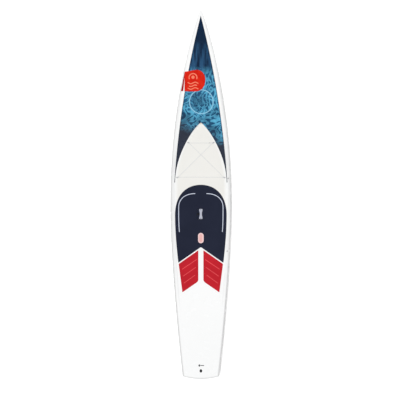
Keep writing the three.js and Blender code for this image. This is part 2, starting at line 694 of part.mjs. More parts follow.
function buildLeashPlug() {
  const { length, width, depth, wall, pin, pinDepth } = LEASH;
  const frame = surfaceFrame(0, LEASH.y);
  let cup = toSolid(prism(slotShape(length, width), -depth - wall, 0));
  cup = cup.subtract(toSolid(prism(slotShape(length - 2 * wall, width - 2 * wall), -depth, 1)));
  cup = cup.subtract(toSolid(crossRod(pin + GAP, width - 1, 0, -pinDepth)));
  add('leash_cup', cup, 'black_plastic', frame);
  add('leash_pin', crossRod(pin, width - 2, 0, -pinDepth), 'steel', frame);
  const low = -depth - wall;
  const { border, below, above } = LEASH_BLOCK;
  const around = (gap) => slotShape(length + 2 * gap, width + 2 * gap);
  const opening = placed(prism(around(GAP), low - GAP, above), frame);
  const foam = placed(prism(around(border), low - below, above), frame);
  const pocket = placed(prism(around(border + GAP), low - below - GAP, above), frame);
  add('leash_block', hullSolid(SKIN + GAP).intersect(foam).subtract(opening), 'dense_foam');
  cuts.deck.push(opening);
  cuts.core.push(pocket);
}

// ------------------------------------------------------------------ fin

function finBlade() {
  const shares = [0, 0.04, 0.14, 0.32, 0.6, 1];
  const levels = [0, 0.12, 0.3, 0.5, 0.7, 0.86, 0.96, 1];
  const rings = levels.map((level) => {
    const chord = THREE.MathUtils.lerp(FIN.chord, FIN.tipChord, level ** 1.2) * (1 - 0.55 * level ** 14);
    const lead = FIN.chord / 2 - FIN.rake * level ** 1.45 - (FIN.tipChord / 3) * level ** 14;
    const girth = FIN.thickness * THREE.MathUtils.lerp(1, 0.45, level);
    const half = (u) => girth * (1.4845 * Math.sqrt(u) - 0.63 * u - 1.758 * u ** 2 + 1.4215 * u ** 3
      - 0.5075 * u ** 4) + 0.25 * u;
    const right = shares.map((u) => [half(u), lead - u * chord]);
    const left = shares.slice(1).reverse().map((u) => [-half(u), lead - u * chord]);
    const z = -1 - (FIN.depth - 1) * level;
    return right.concat(left).map(([x, y]) => new THREE.Vector3(x, y, z));
  });
  return toSolid(loft(rings, true));
}

function buildFin() {
  const frame = surfaceFrame(0, FIN_BOX.y, -1);
  const { length, width, height, slot, slotLength, slotDepth } = FIN_BOX;
  let finBox = toSolid(prism(slotShape(length, width), 0.5, height));
  finBox = finBox.subtract(toSolid(prism(slotShape(slotLength, slot), 0, slotDepth)));
  finBox = finBox.subtract(toSolid(block(CHANNEL.width, slotLength - slot, CHANNEL.low, CHANNEL.high)));
  finBox = finBox.subtract(toSolid(block(CHANNEL.width, DROP_IN.length, 0, CHANNEL.high - 1, 0, DROP_IN.y)));
  add('fin_box', finBox, 'black_plastic', frame);
  const { border, below, above } = FIN_BLOCK;
  const around = (gap) => slotShape(length + 2 * gap, width + 2 * gap);
  const opening = placed(prism(around(GAP), below, height + GAP), frame);
  const foam = placed(prism(around(border), below, height + above), frame);
  const pocket = placed(prism(around(border + GAP), below, height + above + GAP), frame);
  add('fin_box_block', hullSolid(SKIN + GAP).intersect(foam).subtract(opening), 'dense_foam');
  cuts.bottom.push(opening);
  cuts.core.push(pocket);

  const finFrame = frame.clone().multiply(new THREE.Matrix4().makeTranslation(0, FIN.y, 0));
  const screwY = FIN_TAB.length / 2 + TONGUE.length / 2;
  const screwHole = rod(SCREW.shank + GAP, 0, TONGUE.high + 20, 0, screwY);
  let fin = finBlade().add(toSolid(block(FIN_TAB.width, FIN_TAB.length, -2, FIN_TAB.height)));
  fin = fin.add(toSolid(block(FIN_TAB.width, TONGUE.length + 2, TONGUE.low, TONGUE.high, 0, screwY - 1)));
  fin = fin.subtract(toSolid(screwHole));
  fin = fin.subtract(toSolid(crossRod(ROLL_PIN.radius + GAP, FIN_TAB.width + 2, ROLL_PIN.y, ROLL_PIN.z)));
  add('fin', fin, 'fin_composite', finFrame);
  add('fin_roll_pin', crossRod(ROLL_PIN.radius, ROLL_PIN.length, ROLL_PIN.y, ROLL_PIN.z), 'brass', finFrame);
  const plate = block(FIN_PLATE.width, FIN_PLATE.length, FIN_PLATE.low, FIN_PLATE.high, 0, screwY);
  add('fin_plate', toSolid(plate).subtract(toSolid(screwHole)), 'steel', finFrame);
  const screw = panScrew(0, SCREW.length - 3).rotateX(Math.PI).translate(0, screwY, TONGUE.low - GAP);
  add('fin_screw', screw, 'steel', finFrame);
}

// ------------------------------------------------------------------ hull pieces

function buildHull() {
  const shell = hullSolid(0).subtract(hullSolid(SKIN));
  add('deck_shell', cutAll(shell.intersect(railCutter(1)), cuts.deck), 'lacquer');
  add('bottom_shell', cutAll(shell.intersect(railCutter(-1)), cuts.bottom), 'lacquer');
  const core = cutAll(hullSolid(SKIN + GAP), cuts.core);
  const reach = HALF_WIDTH * 1.2;
  const side = (reach + STRINGER / 2 + GAP) / 2;
  const sideWidth = reach - STRINGER / 2 - GAP;
  const tall = (width, x) => toSolid(block(width, LENGTH * 1.1, -THICKNESS, THICKNESS * 4, x, 0));
  add('foam_core_right', core.intersect(tall(sideWidth, side)), 'foam');
  add('foam_core_left', core.intersect(tall(sideWidth, -side)), 'foam');
  add('stringer', core.intersect(tall(STRINGER, 0)), 'paulownia');
}

function eachVertex(mesh, visit) {
  const position = mesh.geometry.attributes.position;
  const point = new THREE.Vector3();
  for (let i = 0; i < position.count; i += 1) {
    visit(point.fromBufferAttribute(position, i).applyMatrix4(mesh.matrixWorld));
  }
}

// Nose-down angle at which the fin's tip and the belly touch the ground together.
function restingPitch() {
  board.updateMatrixWorld(true);
  let pitch = 0;
  for (let pass = 0; pass < 4; pass += 1) {
    const tip = new THREE.Vector3(0, 0, Infinity);
    eachVertex(board.getObjectByName('fin'), (p) => {
      const height = p.z * Math.cos(pitch) - p.y * Math.sin(pitch);
      if (height < tip.z * Math.cos(pitch) - tip.y * Math.sin(pitch)) tip.copy(p);
    });
    let slope = Infinity;
    eachVertex(board.getObjectByName('bottom_shell'), (p) => {
      if (p.y > 0) slope = Math.min(slope, (p.z - tip.z) / (p.y - tip.y));
    });
    pitch = Math.atan(slope);
  }
  return pitch;
}

buildHandle();
buildPads();
buildEyes();
buildBungee();
for (const [name, x, y] of STRAP_PLUGS) buildInsert(name, x, y, 0.2);
buildLeashPlug();
buildFin();
buildHull();

board.rotation.x = -restingPitch();
board.updateMatrixWorld(true);
const extent = new THREE.Box3().setFromObject(board, true);
const middle = extent.getCenter(new THREE.Vector3());
board.position.set(-middle.x, -middle.y, -extent.min.z);

export default board;
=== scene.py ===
import json
import math

import bmesh
import bpy
import numpy as np
from mathutils import Matrix, Vector
from mathutils.geometry import delaunay_2d_cdt


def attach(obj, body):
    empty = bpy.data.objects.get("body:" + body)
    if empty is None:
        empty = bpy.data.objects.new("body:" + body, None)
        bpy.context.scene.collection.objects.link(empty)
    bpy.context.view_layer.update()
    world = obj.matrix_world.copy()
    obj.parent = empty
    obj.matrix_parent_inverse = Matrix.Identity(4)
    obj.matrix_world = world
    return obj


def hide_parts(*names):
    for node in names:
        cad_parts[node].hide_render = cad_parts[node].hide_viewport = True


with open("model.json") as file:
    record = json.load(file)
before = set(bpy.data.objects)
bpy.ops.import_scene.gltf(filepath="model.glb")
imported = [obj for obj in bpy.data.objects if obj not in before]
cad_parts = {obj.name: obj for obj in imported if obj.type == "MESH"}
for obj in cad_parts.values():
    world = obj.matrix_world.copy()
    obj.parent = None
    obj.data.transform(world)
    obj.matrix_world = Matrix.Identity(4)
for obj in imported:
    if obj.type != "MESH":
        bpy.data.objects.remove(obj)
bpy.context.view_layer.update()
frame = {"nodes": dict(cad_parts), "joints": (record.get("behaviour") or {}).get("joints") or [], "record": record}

# Stand up paddleboard. Shapes are in millimetres of the board: X to the right rail, Y to the nose,
# Z out of the deck. BOARD turns them into metres of the row frame.

MM = 0.001
HALF_LENGTH = 2133.5
HALF_WIDTH = 356
WIDE_POINT = 2290
TIP_HALF_WIDTH = 5
TAIL_HALF_WIDTH = 212
TAIL_BOW = 29
TAIL_END = TAIL_BOW - HALF_LENGTH
THICKNESS = 150
RECESS_DEPTH = 10
RECESS_RAMP = 9
RECESS_APEX = 843
DECK_EDGE = 0.935
BOTTOM_EDGE = 0.86
SKIN = 3
TAIL_ROUND = 7
PAD_LOW, PAD_HIGH = 0.3, 5.3
PAD_CORNER = 8                   # how far from a corner its arc starts, enough for the bevel to fit inside
FILM = 0.3
HANDLE_Y = -215
LEASH_Y = -2038
BADGE_Y = -494
BUNGEE_HEIGHT = 7.4
TIP_ROUND = 60                   # how far back from the tip the outline is rounded
CORE_GAP = 0.3                   # between a skin and the foam core
SCREW_HOLE = 2.3                 # radius of a hole that a screw passes
HANDLE_SCREWS = {"handle_screw_front": 50, "handle_screw_rear": -50}
CUP_SIZE = (136, 94)
LEASH_CUP_SIZE = (38, 28)
FIN_BOX_SIZE = (267, 24)
FIN_BOX_AHEAD = 12               # from the fin's own middle to the middle of its box
FIN_SCREW_AHEAD = 87
MOUNT_AHEAD = 300                # from the mount on the bottom to the board's middle
VENT_X = -30
EYE_REACH = 13                   # from an eye's screw to its ring
CORD_RADIUS = 2.5
CORD_SIDES = 24
CORD_STRANDS = 8
CORD_PITCH = 1.9
CORD_REPEAT = 6.0                # length of cord that one tile of its braid covers
PIXEL = 11.595                   # millimetres of the deck that one pixel of the picture shows
PICTURE = 400
SENSOR = 36
CAMERA_DISTANCE = 18000
CAMERA_LEAN = 0.8
SUN_TILT = 1.6
FLOOR_REACH = 30                 # metres


def placed_frame(origin, up, ahead):
    matrix = Matrix((ahead.cross(up), ahead, up)).transposed().to_4x4()
    matrix.translation = origin
    return matrix @ Matrix.Scale(MM, 4)


def record_entry(kind, name):
    entries = frame["record"]["mounts"] if kind == "mount" else frame["joints"]
    return next(e for e in entries if e["name"] == name)


def board_frame():
    mount = record_entry("mount", "hull_flat")
    up = -Vector(mount["axis"]).normalized()
    ahead = up.cross(Vector((1, 0, 0)))
    return placed_frame(Vector(mount["pos_m"]) + MOUNT_AHEAD * MM * ahead, up, ahead)


def fin_frame():
    screw = record_entry("joint", "fin_screw_turn")
    up = -Vector(screw["axis"]).normalized()
    ahead = up.cross(Vector((1, 0, 0)))
    return placed_frame(Vector(screw["pos_m"]) - FIN_SCREW_AHEAD * MM * ahead, up, ahead)


def shift(x, y, z):
    return Matrix.Translation((x, y, z))


BOARD = board_frame()
FIN = fin_frame()
FIN_BOX = FIN @ shift(0, FIN_BOX_AHEAD, 0)


# ---------------------------------------------------------------- hull shape

def share(value):
    return np.clip(value, 0.0, 1.0)


def smooth(value):
    value = share(value)
    return value * value * (3 - 2 * value)


def half_width(y):
    from_nose = HALF_LENGTH - np.asarray(y, float)
    aft = share((from_nose - WIDE_POINT) / (HALF_LENGTH - TAIL_END - WIDE_POINT))
    rear = HALF_WIDTH - (HALF_WIDTH - TAIL_HALF_WIDTH) * aft ** 1.55
    curve = HALF_WIDTH * (1 - share(1 - from_nose / WIDE_POINT) ** 2.25)
    tip = np.sqrt(1 - (1 - share(from_nose / TIP_ROUND)) ** 2) * (1 - smooth(from_nose / 1200))
    return np.where(from_nose > WIDE_POINT, rear, np.maximum(TIP_HALF_WIDTH, curve + 11 * tip))


def rocker_height(y):
    to_nose = share((y - 300) / (HALF_LENGTH - 300))
    to_tail = share((-900 - y) / (HALF_LENGTH - 900))
    return 170 * to_nose ** 2.4 + 40 * to_tail ** 1.8


def keel_height(y):
    return rocker_height(y) + 16 * share(1 - (HALF_LENGTH - y) / 110) ** 2


def thickness(y):
    to_nose = share((y - 700) / (HALF_LENGTH - 700))
    to_tail = share((-500 - y) / (HALF_LENGTH - 500))
    return THICKNESS - 76 * to_nose ** 2 - 104 * to_tail ** 1.7


def deadrise(y):
    return 26 * smooth((y - 1350) / (HALF_LENGTH - 1350))


def rail_height(y):
    return rocker_height(y) + 0.45 * thickness(y) + 0.35 * deadrise(y)


def floor_height(y):
    return rocker_height(y) + thickness(y) - RECESS_DEPTH


def recess_half_width(y):
    arch = share((RECESS_APEX - y) / 720)
    return np.minimum(309 * (1 - (1 - arch) ** 2) ** 0.88, half_width(y) - 44)


def ramp_foot(y):
    """Half width of the recessed floor, inside a ramp that is equally wide all along the arch."""
    slope = (recess_half_width(y + 1) - recess_half_width(y - 1)) / 2
    return np.maximum(recess_half_width(y) - RECESS_RAMP * np.sqrt(1 + slope ** 2), 0)


def deck_height(x, y):
    x, y = np.abs(x), np.asarray(y, float)
    edge, foot = recess_half_width(y), ramp_foot(y)
    across = smooth((edge - x) / np.maximum(edge - foot, 0.1))
    along = smooth((y + 1450) / 300)
    crowned = rocker_height(y) + thickness(y) - 7 * (x / half_width(y)) ** 2
    return crowned + (floor_height(y) - crowned) * across * along


def tail_line(x):
    """The tail's shallow bow, from its corners to the middle."""
    return TAIL_END - TAIL_BOW * (1 - share(np.abs(x) / TAIL_HALF_WIDTH) ** 2)


# ---------------------------------------------------------------- mesh tools

def tidy_mesh(mesh, sharp):
    bm = bmesh.new()
    bm.from_mesh(mesh)
    bmesh.ops.remove_doubles(bm, verts=bm.verts, dist=0.004 * MM)
    bmesh.ops.dissolve_degenerate(bm, edges=bm.edges, dist=0.0005 * MM)
    bmesh.ops.recalc_face_normals(bm, faces=bm.faces)
    bm.to_mesh(mesh)
    bm.free()
    mesh.shade_smooth()
    mesh.set_sharp_from_angle(angle=math.radians(sharp))


class Shape:
    """Points and faces of one solid, in millimetres of its own frame."""

    def __init__(self):
        self.points, self.faces, self.marks = [], [], []

    def add(self, points, faces, mark=0):
        first = len(self.points)
        self.points.extend([tuple(float(c) for c in p) for p in points])
        self.faces.extend([tuple(first + i for i in face) for face in faces])
        self.marks.extend([mark] * len(faces))
        return self

    def grid(self, rows, mark=0):
        rows = np.asarray(rows, float)
        n, m = rows.shape[:2]
        faces = [(i * m + j, i * m + j + 1, (i + 1) * m + j + 1, (i + 1) * m + j)
                 for i in range(n - 1) for j in range(m - 1)]
        return self.add(rows.reshape(-1, 3), faces, mark)

    def rings(self, rings, mark=0, caps=True):
        """A skin through rings of equally many points, with a face across each end."""
        rings = np.asarray(rings, float)
        n, m = rings.shape[:2]
        faces = [(i * m + j, i * m + (j + 1) % m, (i + 1) * m + (j + 1) % m, (i + 1) * m + j)
                 for i in range(n - 1) for j in range(m)]
        if caps:
            faces += [tuple(range(m)), tuple(range((n - 1) * m, n * m))]
        return self.add(rings.reshape(-1, 3), faces, mark)

    def moved(self, matrix):
        self.points = [tuple(matrix @ Vector(p)) for p in self.points]
        return self

    def mesh(self, name, place, sharp=35):
        mesh = bpy.data.meshes.new(name)
        mesh.from_pydata([tuple(place @ Vector(p)) for p in self.points], [], self.faces)
        mesh.polygons.foreach_set("material_index", self.marks)
        tidy_mesh(mesh, sharp)
        return mesh

    def object(self, name, place, sharp=35):
        return linked(name, self.mesh(name, place, sharp))


def linked(name, data):
    thing = bpy.data.objects.new(name, data)
    bpy.context.scene.collection.objects.link(thing)
    return thing


def settle(thing, sharp=35):
    """Applies the modifiers of an object to its mesh."""
    graph = bpy.context.evaluated_depsgraph_get()
    mesh = bpy.data.meshes.new_from_object(thing.evaluated_get(graph))
    thing.modifiers.clear()
    thing.data = mesh
    tidy_mesh(mesh, sharp)
    return thing


def carve(thing, shapes, place, operation="DIFFERENCE", sharp=35):
    tools = [shape.object(f"tool_{k}", place if isinstance(place, Matrix) else place[k])
             for k, shape in enumerate(shapes)]
    for tool in tools:
        modifier = thing.modifiers.new("cut", "BOOLEAN")
        modifier.operation = operation
        modifier.solver = "EXACT"
        modifier.object = tool
    settle(thing, sharp)
    for tool in tools:
        bpy.data.objects.remove(tool)
    return thing


def finish_piece(thing, finishes, body="board", stands_for=()):
    for finish in finishes if isinstance(finishes, (list, tuple)) else [finishes]:
        thing.data.materials.append(finish)
    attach(thing, body)
    if stands_for:
        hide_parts(*stands_for)
    return thing


def stand_in(name, thing, finish, body="board"):
    return finish_piece(thing, finishes[finish], body, [name])


def full_turn(count):
    return np.linspace(0, 2 * np.pi, count, endpoint=False)


def circle(radius, z, count=32):
    turn = full_turn(count)
    return np.stack([radius * np.cos(turn), radius * np.sin(turn), np.full(count, z)], 1)


def turned(profile, count=32):
    """A solid turned about Z; its profile is a list of (radius, height) from axis to axis."""
    return Shape().rings([circle(max(r, 1e-4), z, count) for r, z in profile])


def cylinder(radius, low, high, count=32):
    return turned([(0, low), (radius, low), (radius, high), (0, high)], count)


def hollow(profile, count):
    """A solid turned about Z that doesn't reach it; its profile closes on its own first point."""
    return Shape().rings([circle(r, z, count) for r, z in profile], caps=False)


def slot_ring(length, width, z, count=20):
    """Straight sides along Y and half-round ends."""
    radius, reach = width / 2, (length - width) / 2
    turn = np.linspace(0, np.pi, count)
    front = np.stack([radius * np.cos(turn), reach + radius * np.sin(turn)], 1)
    ring = np.concatenate([front, -front])
    return np.column_stack([ring, np.full(len(ring), z)])


def slot_solid(profile, length, width):
    """A solid of slot-shaped rings; its profile is a list of (offset, height)."""
    return Shape().rings([slot_ring(length + 2 * o, width + 2 * o, z) for o, z in profile])


def box(x, y, z, centre=(0, 0, 0)):
    corners = np.array([(-x, -y), (x, -y), (x, y), (-x, y)]) / 2
    rings = [np.column_stack([corners, np.full(4, side * z / 2)]) for side in (-1, 1)]
    return Shape().rings(rings).moved(Matrix.Translation(centre))


# ---------------------------------------------------------------- slabs cut from a drawn outline

def bezier(a, b, c, d, count=24):
    a, b, c, d = (np.array(p, float) for p in (a, b, c, d))
    t = np.linspace(0, 1, count, endpoint=False)[:, None]
    return (1 - t) ** 3 * a + 3 * (1 - t) ** 2 * t * b + 3 * (1 - t) * t ** 2 * c + t ** 3 * d


def line(a, b, step=12):
    a, b = np.array(a, float), np.array(b, float)
    count = max(int(np.linalg.norm(b - a) / step), 1)
    return a + (b - a) * np.linspace(0, 1, count, endpoint=False)[:, None]


def bend(a, b, c, count):
    """A quadratic curve that includes both of its ends."""
    t = np.linspace(0, 1, count)[:, None]
    return (1 - t) ** 2 * np.array(a) + 2 * (1 - t) * t * np.array(b) + t ** 2 * np.array(c)


def polygon(corners, step=12):
    return np.concatenate([line(a, b, step) for a, b in zip(corners, corners[1:] + corners[:1])])


def rounded(loop, radius, sharp=18):
    """The loop turned counter-clockwise, with an arc at each corner."""
    area = np.sum(loop[:, 0] * np.roll(loop[:, 1], -1) - np.roll(loop[:, 0], -1) * loop[:, 1])
    loop = loop if area > 0 else loop[::-1]
    result = []
    for before, at, after in zip(np.roll(loop, 1, 0), loop, np.roll(loop, -1, 0)):
        back, on = before - at, after - at
        back, on = back / np.linalg.norm(back), on / np.linalg.norm(on)
        turn = math.degrees(math.acos(np.clip(-back @ on, -1, 1)))
        if turn < sharp:
            result.append(at)
            continue
        for t in np.linspace(0, 1, 7):
            result.append(at + radius * ((1 - t) ** 2 * back + t ** 2 * on))
    return np.array(result)


def inset(loop, distance):
    """The loop moved to its left, which is inwards for a counter-clockwise loop."""
    ahead = np.roll(loop, -1, 0) - loop
    ahead /= np.maximum(np.linalg.norm(ahead, axis=1), 1e-9)[:, None]
    along = ahead + np.roll(ahead, 1, 0)
    along /= np.maximum(np.sum(along ** 2, axis=1), 0.5)[:, None] / 2
    return loop + distance * np.stack([-along[:, 1], along[:, 0]], 1)


def inside(points, loop):
    x, y = points[:, :1], points[:, 1:]
    a, b = loop, np.roll(loop, -1, 0)
    spans = (a[:, 1] > y) != (b[:, 1] > y)
    run = np.where(b[:, 1] == a[:, 1], 1.0, b[:, 1] - a[:, 1])
    crossing = a[:, 0] + (y - a[:, 1]) * (b[:, 0] - a[:, 0]) / run
    return np.sum(spans & (x < crossing), axis=1) % 2 == 1


def fill(outer, holes, spacing):
    """Points and triangles between an outer loop and its holes."""
    loops = [outer, *holes]
    rim = np.concatenate(loops)
    low, high = outer.min(0) + 0.4 * spacing, outer.max(0)
    xs = np.arange(low[0], high[0], spacing)
    ys = np.arange(low[1], high[1], spacing * 0.87)
    inner = np.array([(x + spacing / 2 * (k % 2), y) for k, y in enumerate(ys) for x in xs])
    if len(inner):
        keep = inside(inner, outer)
        for hole in holes:
            keep &= ~inside(inner, hole)
        inner = inner[keep]
        gap = np.array([np.min(np.sum((rim - p) ** 2, 1)) for p in inner])
        inner = inner[gap > (0.45 * spacing) ** 2] if len(inner) else inner
    points = np.concatenate([rim, inner]) if len(inner) else rim
    edges, first = [], 0
    for loop in loops:
        edges += [(first + i, first + (i + 1) % len(loop)) for i in range(len(loop))]
        first += len(loop)
    out, lines, faces, _, sources, _ = delaunay_2d_cdt([Vector(p) for p in points], edges, [], 0, 1e-5)
    points = np.array([tuple(p) for p in out])
    corners = points[np.array([tuple(face) for face in faces])]
    a, b = (corners[:, 1] - corners[:, 0]).T, (corners[:, 2] - corners[:, 0]).T
    within = inside(corners.mean(1), outer)
    for hole in holes:
        within &= ~inside(corners.mean(1), hole)
    walls = {frozenset(edge) for edge, source in zip(lines, sources) if source}
    beside = {}
    for k, face in enumerate(faces):
        for pair in zip(face, (*face[1:], face[0])):
            beside.setdefault(frozenset(pair), []).append(k)
    reached = {int(np.argmax(np.abs(a[0] * b[1] - a[1] * b[0]) * within))}
    front = list(reached)
    while front:
        face = faces[front.pop()]
        for pair in zip(face, (*face[1:], face[0])):
            if frozenset(pair) not in walls:
                new = set(beside[frozenset(pair)]) - reached
                reached |= new
                front += new
    return points, [faces[k] for k in sorted(reached)]


def slab(outline, height, low, high, edge=1.5, holes=(), pockets=(), spacing=14, steps=4):
    """A closed sheet with rounded upper edges. Pockets are loops with a depth; their floors have mark 1."""
    shape = Shape()
    turns = np.linspace(0, np.pi / 2, steps + 1)
    profile = [(0, low)] + [(edge * (1 - math.cos(t)), high - edge + edge * math.sin(t)) for t in turns]
    hole_loops = [loop[::-1] for loop in holes]

    def raised(loop, level):
        return np.column_stack([loop, height(loop[:, 0], loop[:, 1]) + level])

    for loop in [outline, *hole_loops]:
        shape.rings([raised(inset(loop, o), z) for o, z in profile], caps=False)
    lip = min(edge, 0.5)
    tops = [inset(loop, edge) for loop in hole_loops] + [inset(loop[::-1], lip) for loop, _ in pockets]
    points, faces = fill(inset(outline, edge), [loop[::-1] for loop in tops], spacing)
    shape.add(raised(points, high), faces)
    points, faces = fill(outline, holes, spacing)
    shape.add(raised(points, low), faces)
    for loop, depth in pockets:
        rings = [raised(inset(loop[::-1], o), z)
                 for o, z in ((lip, high), (lip * 0.3, high - lip * 0.3), (0, high - lip))]
        shape.rings(rings, caps=False)
        shape.rings([raised(loop[::-1], high - lip), raised(loop[::-1], high - depth)], 1, caps=False)
        points, faces = fill(loop, [], spacing)
        shape.add(raised(points, high - depth), faces, 1)
    return shape


def band(path, width):
    """The outline of a stripe of constant width along a path, with round ends."""
    path = np.asarray(path, float)
    along = np.gradient(path, axis=0)
    along /= np.linalg.norm(along, axis=1)[:, None]
    side = np.stack([-along[:, 1], along[:, 0]], 1) * width / 2
    turn = np.linspace(0, np.pi, 7)[1:-1, None]
    end = path[-1] + side[-1] * np.cos(turn) + along[-1] * width / 2 * np.sin(turn)
    start = path[0] - side[0] * np.cos(turn) - along[0] * width / 2 * np.sin(turn)
    loop = np.concatenate([path + side, end, (path - side)[::-1], start])
    return rounded(loop, 0.01, sharp=180)


def floor_level(x, y):
    return floor_height(y)


# ---------------------------------------------------------------- finishes

def toned(colour, by):
    return tuple(c * by for c in colour)


class Finish:
    """A Principled material, with short calls that add nodes to it."""

    def __init__(self, name, colour=(0.8, 0.8, 0.8), roughness=0.5, **sockets):
        self.material = bpy.data.materials.new(name)
        self.material.use_nodes = True
        self.tree = self.material.node_tree
        self.shader = self.tree.nodes["Principled BSDF"]
        self.set(Base_Color=(*colour, 1), Roughness=roughness, **sockets)

    def plug(self, socket, value):
        if isinstance(value, bpy.types.NodeSocket):
            self.tree.links.new(value, socket)
        else:
            socket.default_value = value

    def set(self, **sockets):
        for name, value in sockets.items():
            self.plug(self.shader.inputs[name.replace("_", " ")], value)

    def add(self, kind, inputs, **settings):
        node = self.tree.nodes.new("ShaderNode" + kind)
        for name, value in settings.items():
            setattr(node, name, value)
        for name, value in inputs.items():
            self.plug(node.inputs[name], value)
        return node

    def math(self, operation, *values):
        inputs = dict(enumerate(values))
        return self.add("Math", inputs, operation=operation).outputs[0]

    def times(self, a, b):
        return self.math("MULTIPLY", a, b)

    def plus(self, a, b):
        return self.math("ADD", a, b)

    def place(self, scale=(1, 1, 1)):
        """Coordinates in metres of the board, stretched by scale."""
        at = self.add("TexCoord", {}).outputs["Object"]
        turn = BOARD.to_euler()
        there = self.add("Mapping", {"Vector": at, "Location": BOARD.translation, "Rotation": turn},
                         vector_type="TEXTURE").outputs[0]
        if tuple(scale) == (1, 1, 1):
            return there
        return self.add("Mapping", {"Vector": there, "Scale": scale}).outputs[0]

    def xyz(self, vector):
        parts = self.add("SeparateXYZ", {"Vector": vector})
        return parts.outputs[0], parts.outputs[1], parts.outputs[2]

    def noise(self, scale, detail=3.0, vector=None, distortion=0.0, roughness=0.5):
        inputs = {"Vector": vector or self.place(), "Scale": scale, "Detail": detail,
                  "Distortion": distortion, "Roughness": roughness}
        return self.add("TexNoise", inputs).outputs[0]

    def cells(self, scale, vector=None, feature="F1", output="Distance"):
        inputs = {"Vector": vector or self.place(), "Scale": scale}
        return self.add("TexVoronoi", inputs, feature=feature).outputs[output]

    def step(self, value, low, high, to_low=0.0, to_high=1.0, kind="SMOOTHSTEP"):
        inputs = {"Value": value, "From Min": low, "From Max": high, "To Min": to_low, "To Max": to_high}
        return self.add("MapRange", inputs, interpolation_type=kind).outputs[0]

    def near(self, value, centre, half, soft):
        """1 where value is within half of centre, falling to 0 over soft."""
        off = self.math("ABSOLUTE", self.math("SUBTRACT", value, centre))
        return self.step(off, half, half + soft, 1.0, 0.0)

    def mix(self, share_of_b, a, b, kind="MIX"):
        node = self.add("Mix", {}, data_type="RGBA", blend_type=kind)
        for k, value in ((0, share_of_b), (6, a), (7, b)):
            self.plug(node.inputs[k], (*value, 1) if isinstance(value, tuple) and len(value) == 3 else value)
        return node.outputs[2]

    def bump(self, *layers):
        """Layers of (height, strength, depth in millimetres), the finest last."""
        normal = None
        for height, strength, depth in layers:
            inputs = {"Height": height, "Strength": strength, "Distance": depth * MM}
            if normal:
                inputs["Normal"] = normal
            normal = self.add("Bump", inputs).outputs[0]
        self.set(Normal=normal)
        return self


def lacquer(name, tint, floor=None):
    """Gloss paint over glass cloth: faint orange peel, fine scratches, a little uneven tone, and painted shade
    that greys it on the rails.
    """
    f = Finish(name, tint, 0.28, Coat_Weight=0.35, Coat_Roughness=0.08, Specular_IOR_Level=0.35)
    shade = f.step(f.noise(3.0, 5), 0.35, 0.65, 0.0, 1.0, "LINEAR")
    colour = f.mix(shade, toned(tint, 0.985), tint)
    peel = f.noise(420, 2)
    layers = [(f.noise(2.2, 2), 0.15, 3.0), (peel, 0.12, 0.06)]
    scratch = f.step(f.noise(60, 4, f.place((9, 1, 1))), 0.68, 0.72)
    roughness = f.plus(f.step(f.noise(14, 5), 0.3, 0.7, 0.16, 0.3), f.times(scratch, 0.12))
    # painted shade: the lacquer is toned greyer where the rail mark says the surface rolls away from the light
    painted_rail_shade = f.add("Attribute", {}, attribute_name="rail").outputs["Fac"]
    colour = f.mix(painted_rail_shade, colour, toned(tint, 0.74))
    if floor:
        on_floor = f.add("Attribute", {}, attribute_name="floor").outputs["Fac"]
        colour = f.mix(on_floor, colour, f.mix(shade, toned(floor, 0.985), floor))
        grit = f.times(f.noise(1100, 2), on_floor)
        layers.append((grit, 0.5, 0.25))
        roughness = f.plus(roughness, f.times(on_floor, 0.28))
    f.set(Base_Color=colour, Roughness=roughness)
    f.bump(*layers)
    return f.material


def foam_rubber(name, colour):
    """Brushed EVA: fine closed cells, a shallow diamond emboss whose lines are painted darker as shade, and
    slightly uneven dye.
    """
    f = Finish(name, colour, 0.85, Specular_IOR_Level=0.15, Sheen_Weight=0.15, Sheen_Roughness=0.6)
    x, y, _ = f.xyz(f.place())
    weave = []
    for sign in (1, -1):
        slant = f.plus(f.times(x, 1.6), f.times(y, sign))
        wave = f.math("FRACT", f.times(slant, 55.0))
        weave.append(f.near(wave, 0.5, 0.06, 0.12))
    lines = f.math("MAXIMUM", *weave)
    cells = f.cells(1400)
    speckle = f.noise(900, 3)
    worn = f.step(f.noise(5, 5), 0.3, 0.75)
    dark, light = toned(colour, 0.86), tuple(min(c * 1.16 + 0.003, 1) for c in colour)
    tone = f.mix(f.times(speckle, f.plus(worn, 0.4)), dark, light)
    # painted shade: the emboss lines are tinted halfway to the darker tone
    f.set(Base_Color=f.mix(f.times(lines, 0.5), tone, dark))
    f.set(Roughness=f.step(speckle, 0.3, 0.7, 0.78, 0.95))
    f.bump((f.math("SUBTRACT", 1.0, lines), 0.6, 0.5), (cells, 0.5, 0.25), (speckle, 0.35, 0.12))
    return f.material


def moulded(name, colour, roughness=0.5, grain=0.3):
    """Moulded plastic: a fine spark-eroded grain and paler rubbed patches."""
    f = Finish(name, colour, roughness, Specular_IOR_Level=0.4)
    rub = f.step(f.noise(40, 6), 0.55, 0.8)
    pale = tuple(min(c * 1.35 + 0.015, 1) for c in colour)
    f.set(Base_Color=f.mix(f.times(rub, 0.5), colour, pale))
    f.set(Roughness=f.step(f.noise(160, 4), 0.3, 0.7, roughness - 0.08, roughness + 0.12))
    f.bump((f.cells(2200), grain, 0.08), (f.noise(900, 3), grain, 0.05))
    return f.material


def metal(name, colour, roughness=0.3):
    """Turned metal: fine rings of tool marks and small stains."""
    f = Finish(name, colour, roughness, Metallic=1.0)
    streaks = f.noise(700, 4, f.place((1, 1, 9)))
    stain = f.step(f.noise(120, 5), 0.5, 0.75)
    f.set(Base_Color=f.mix(f.times(stain, 0.4), colour, toned(colour, 0.6)))
    f.set(Roughness=f.step(streaks, 0.3, 0.7, roughness - 0.08, roughness + 0.15))
    f.bump((streaks, 0.25, 0.03))
    return f.material


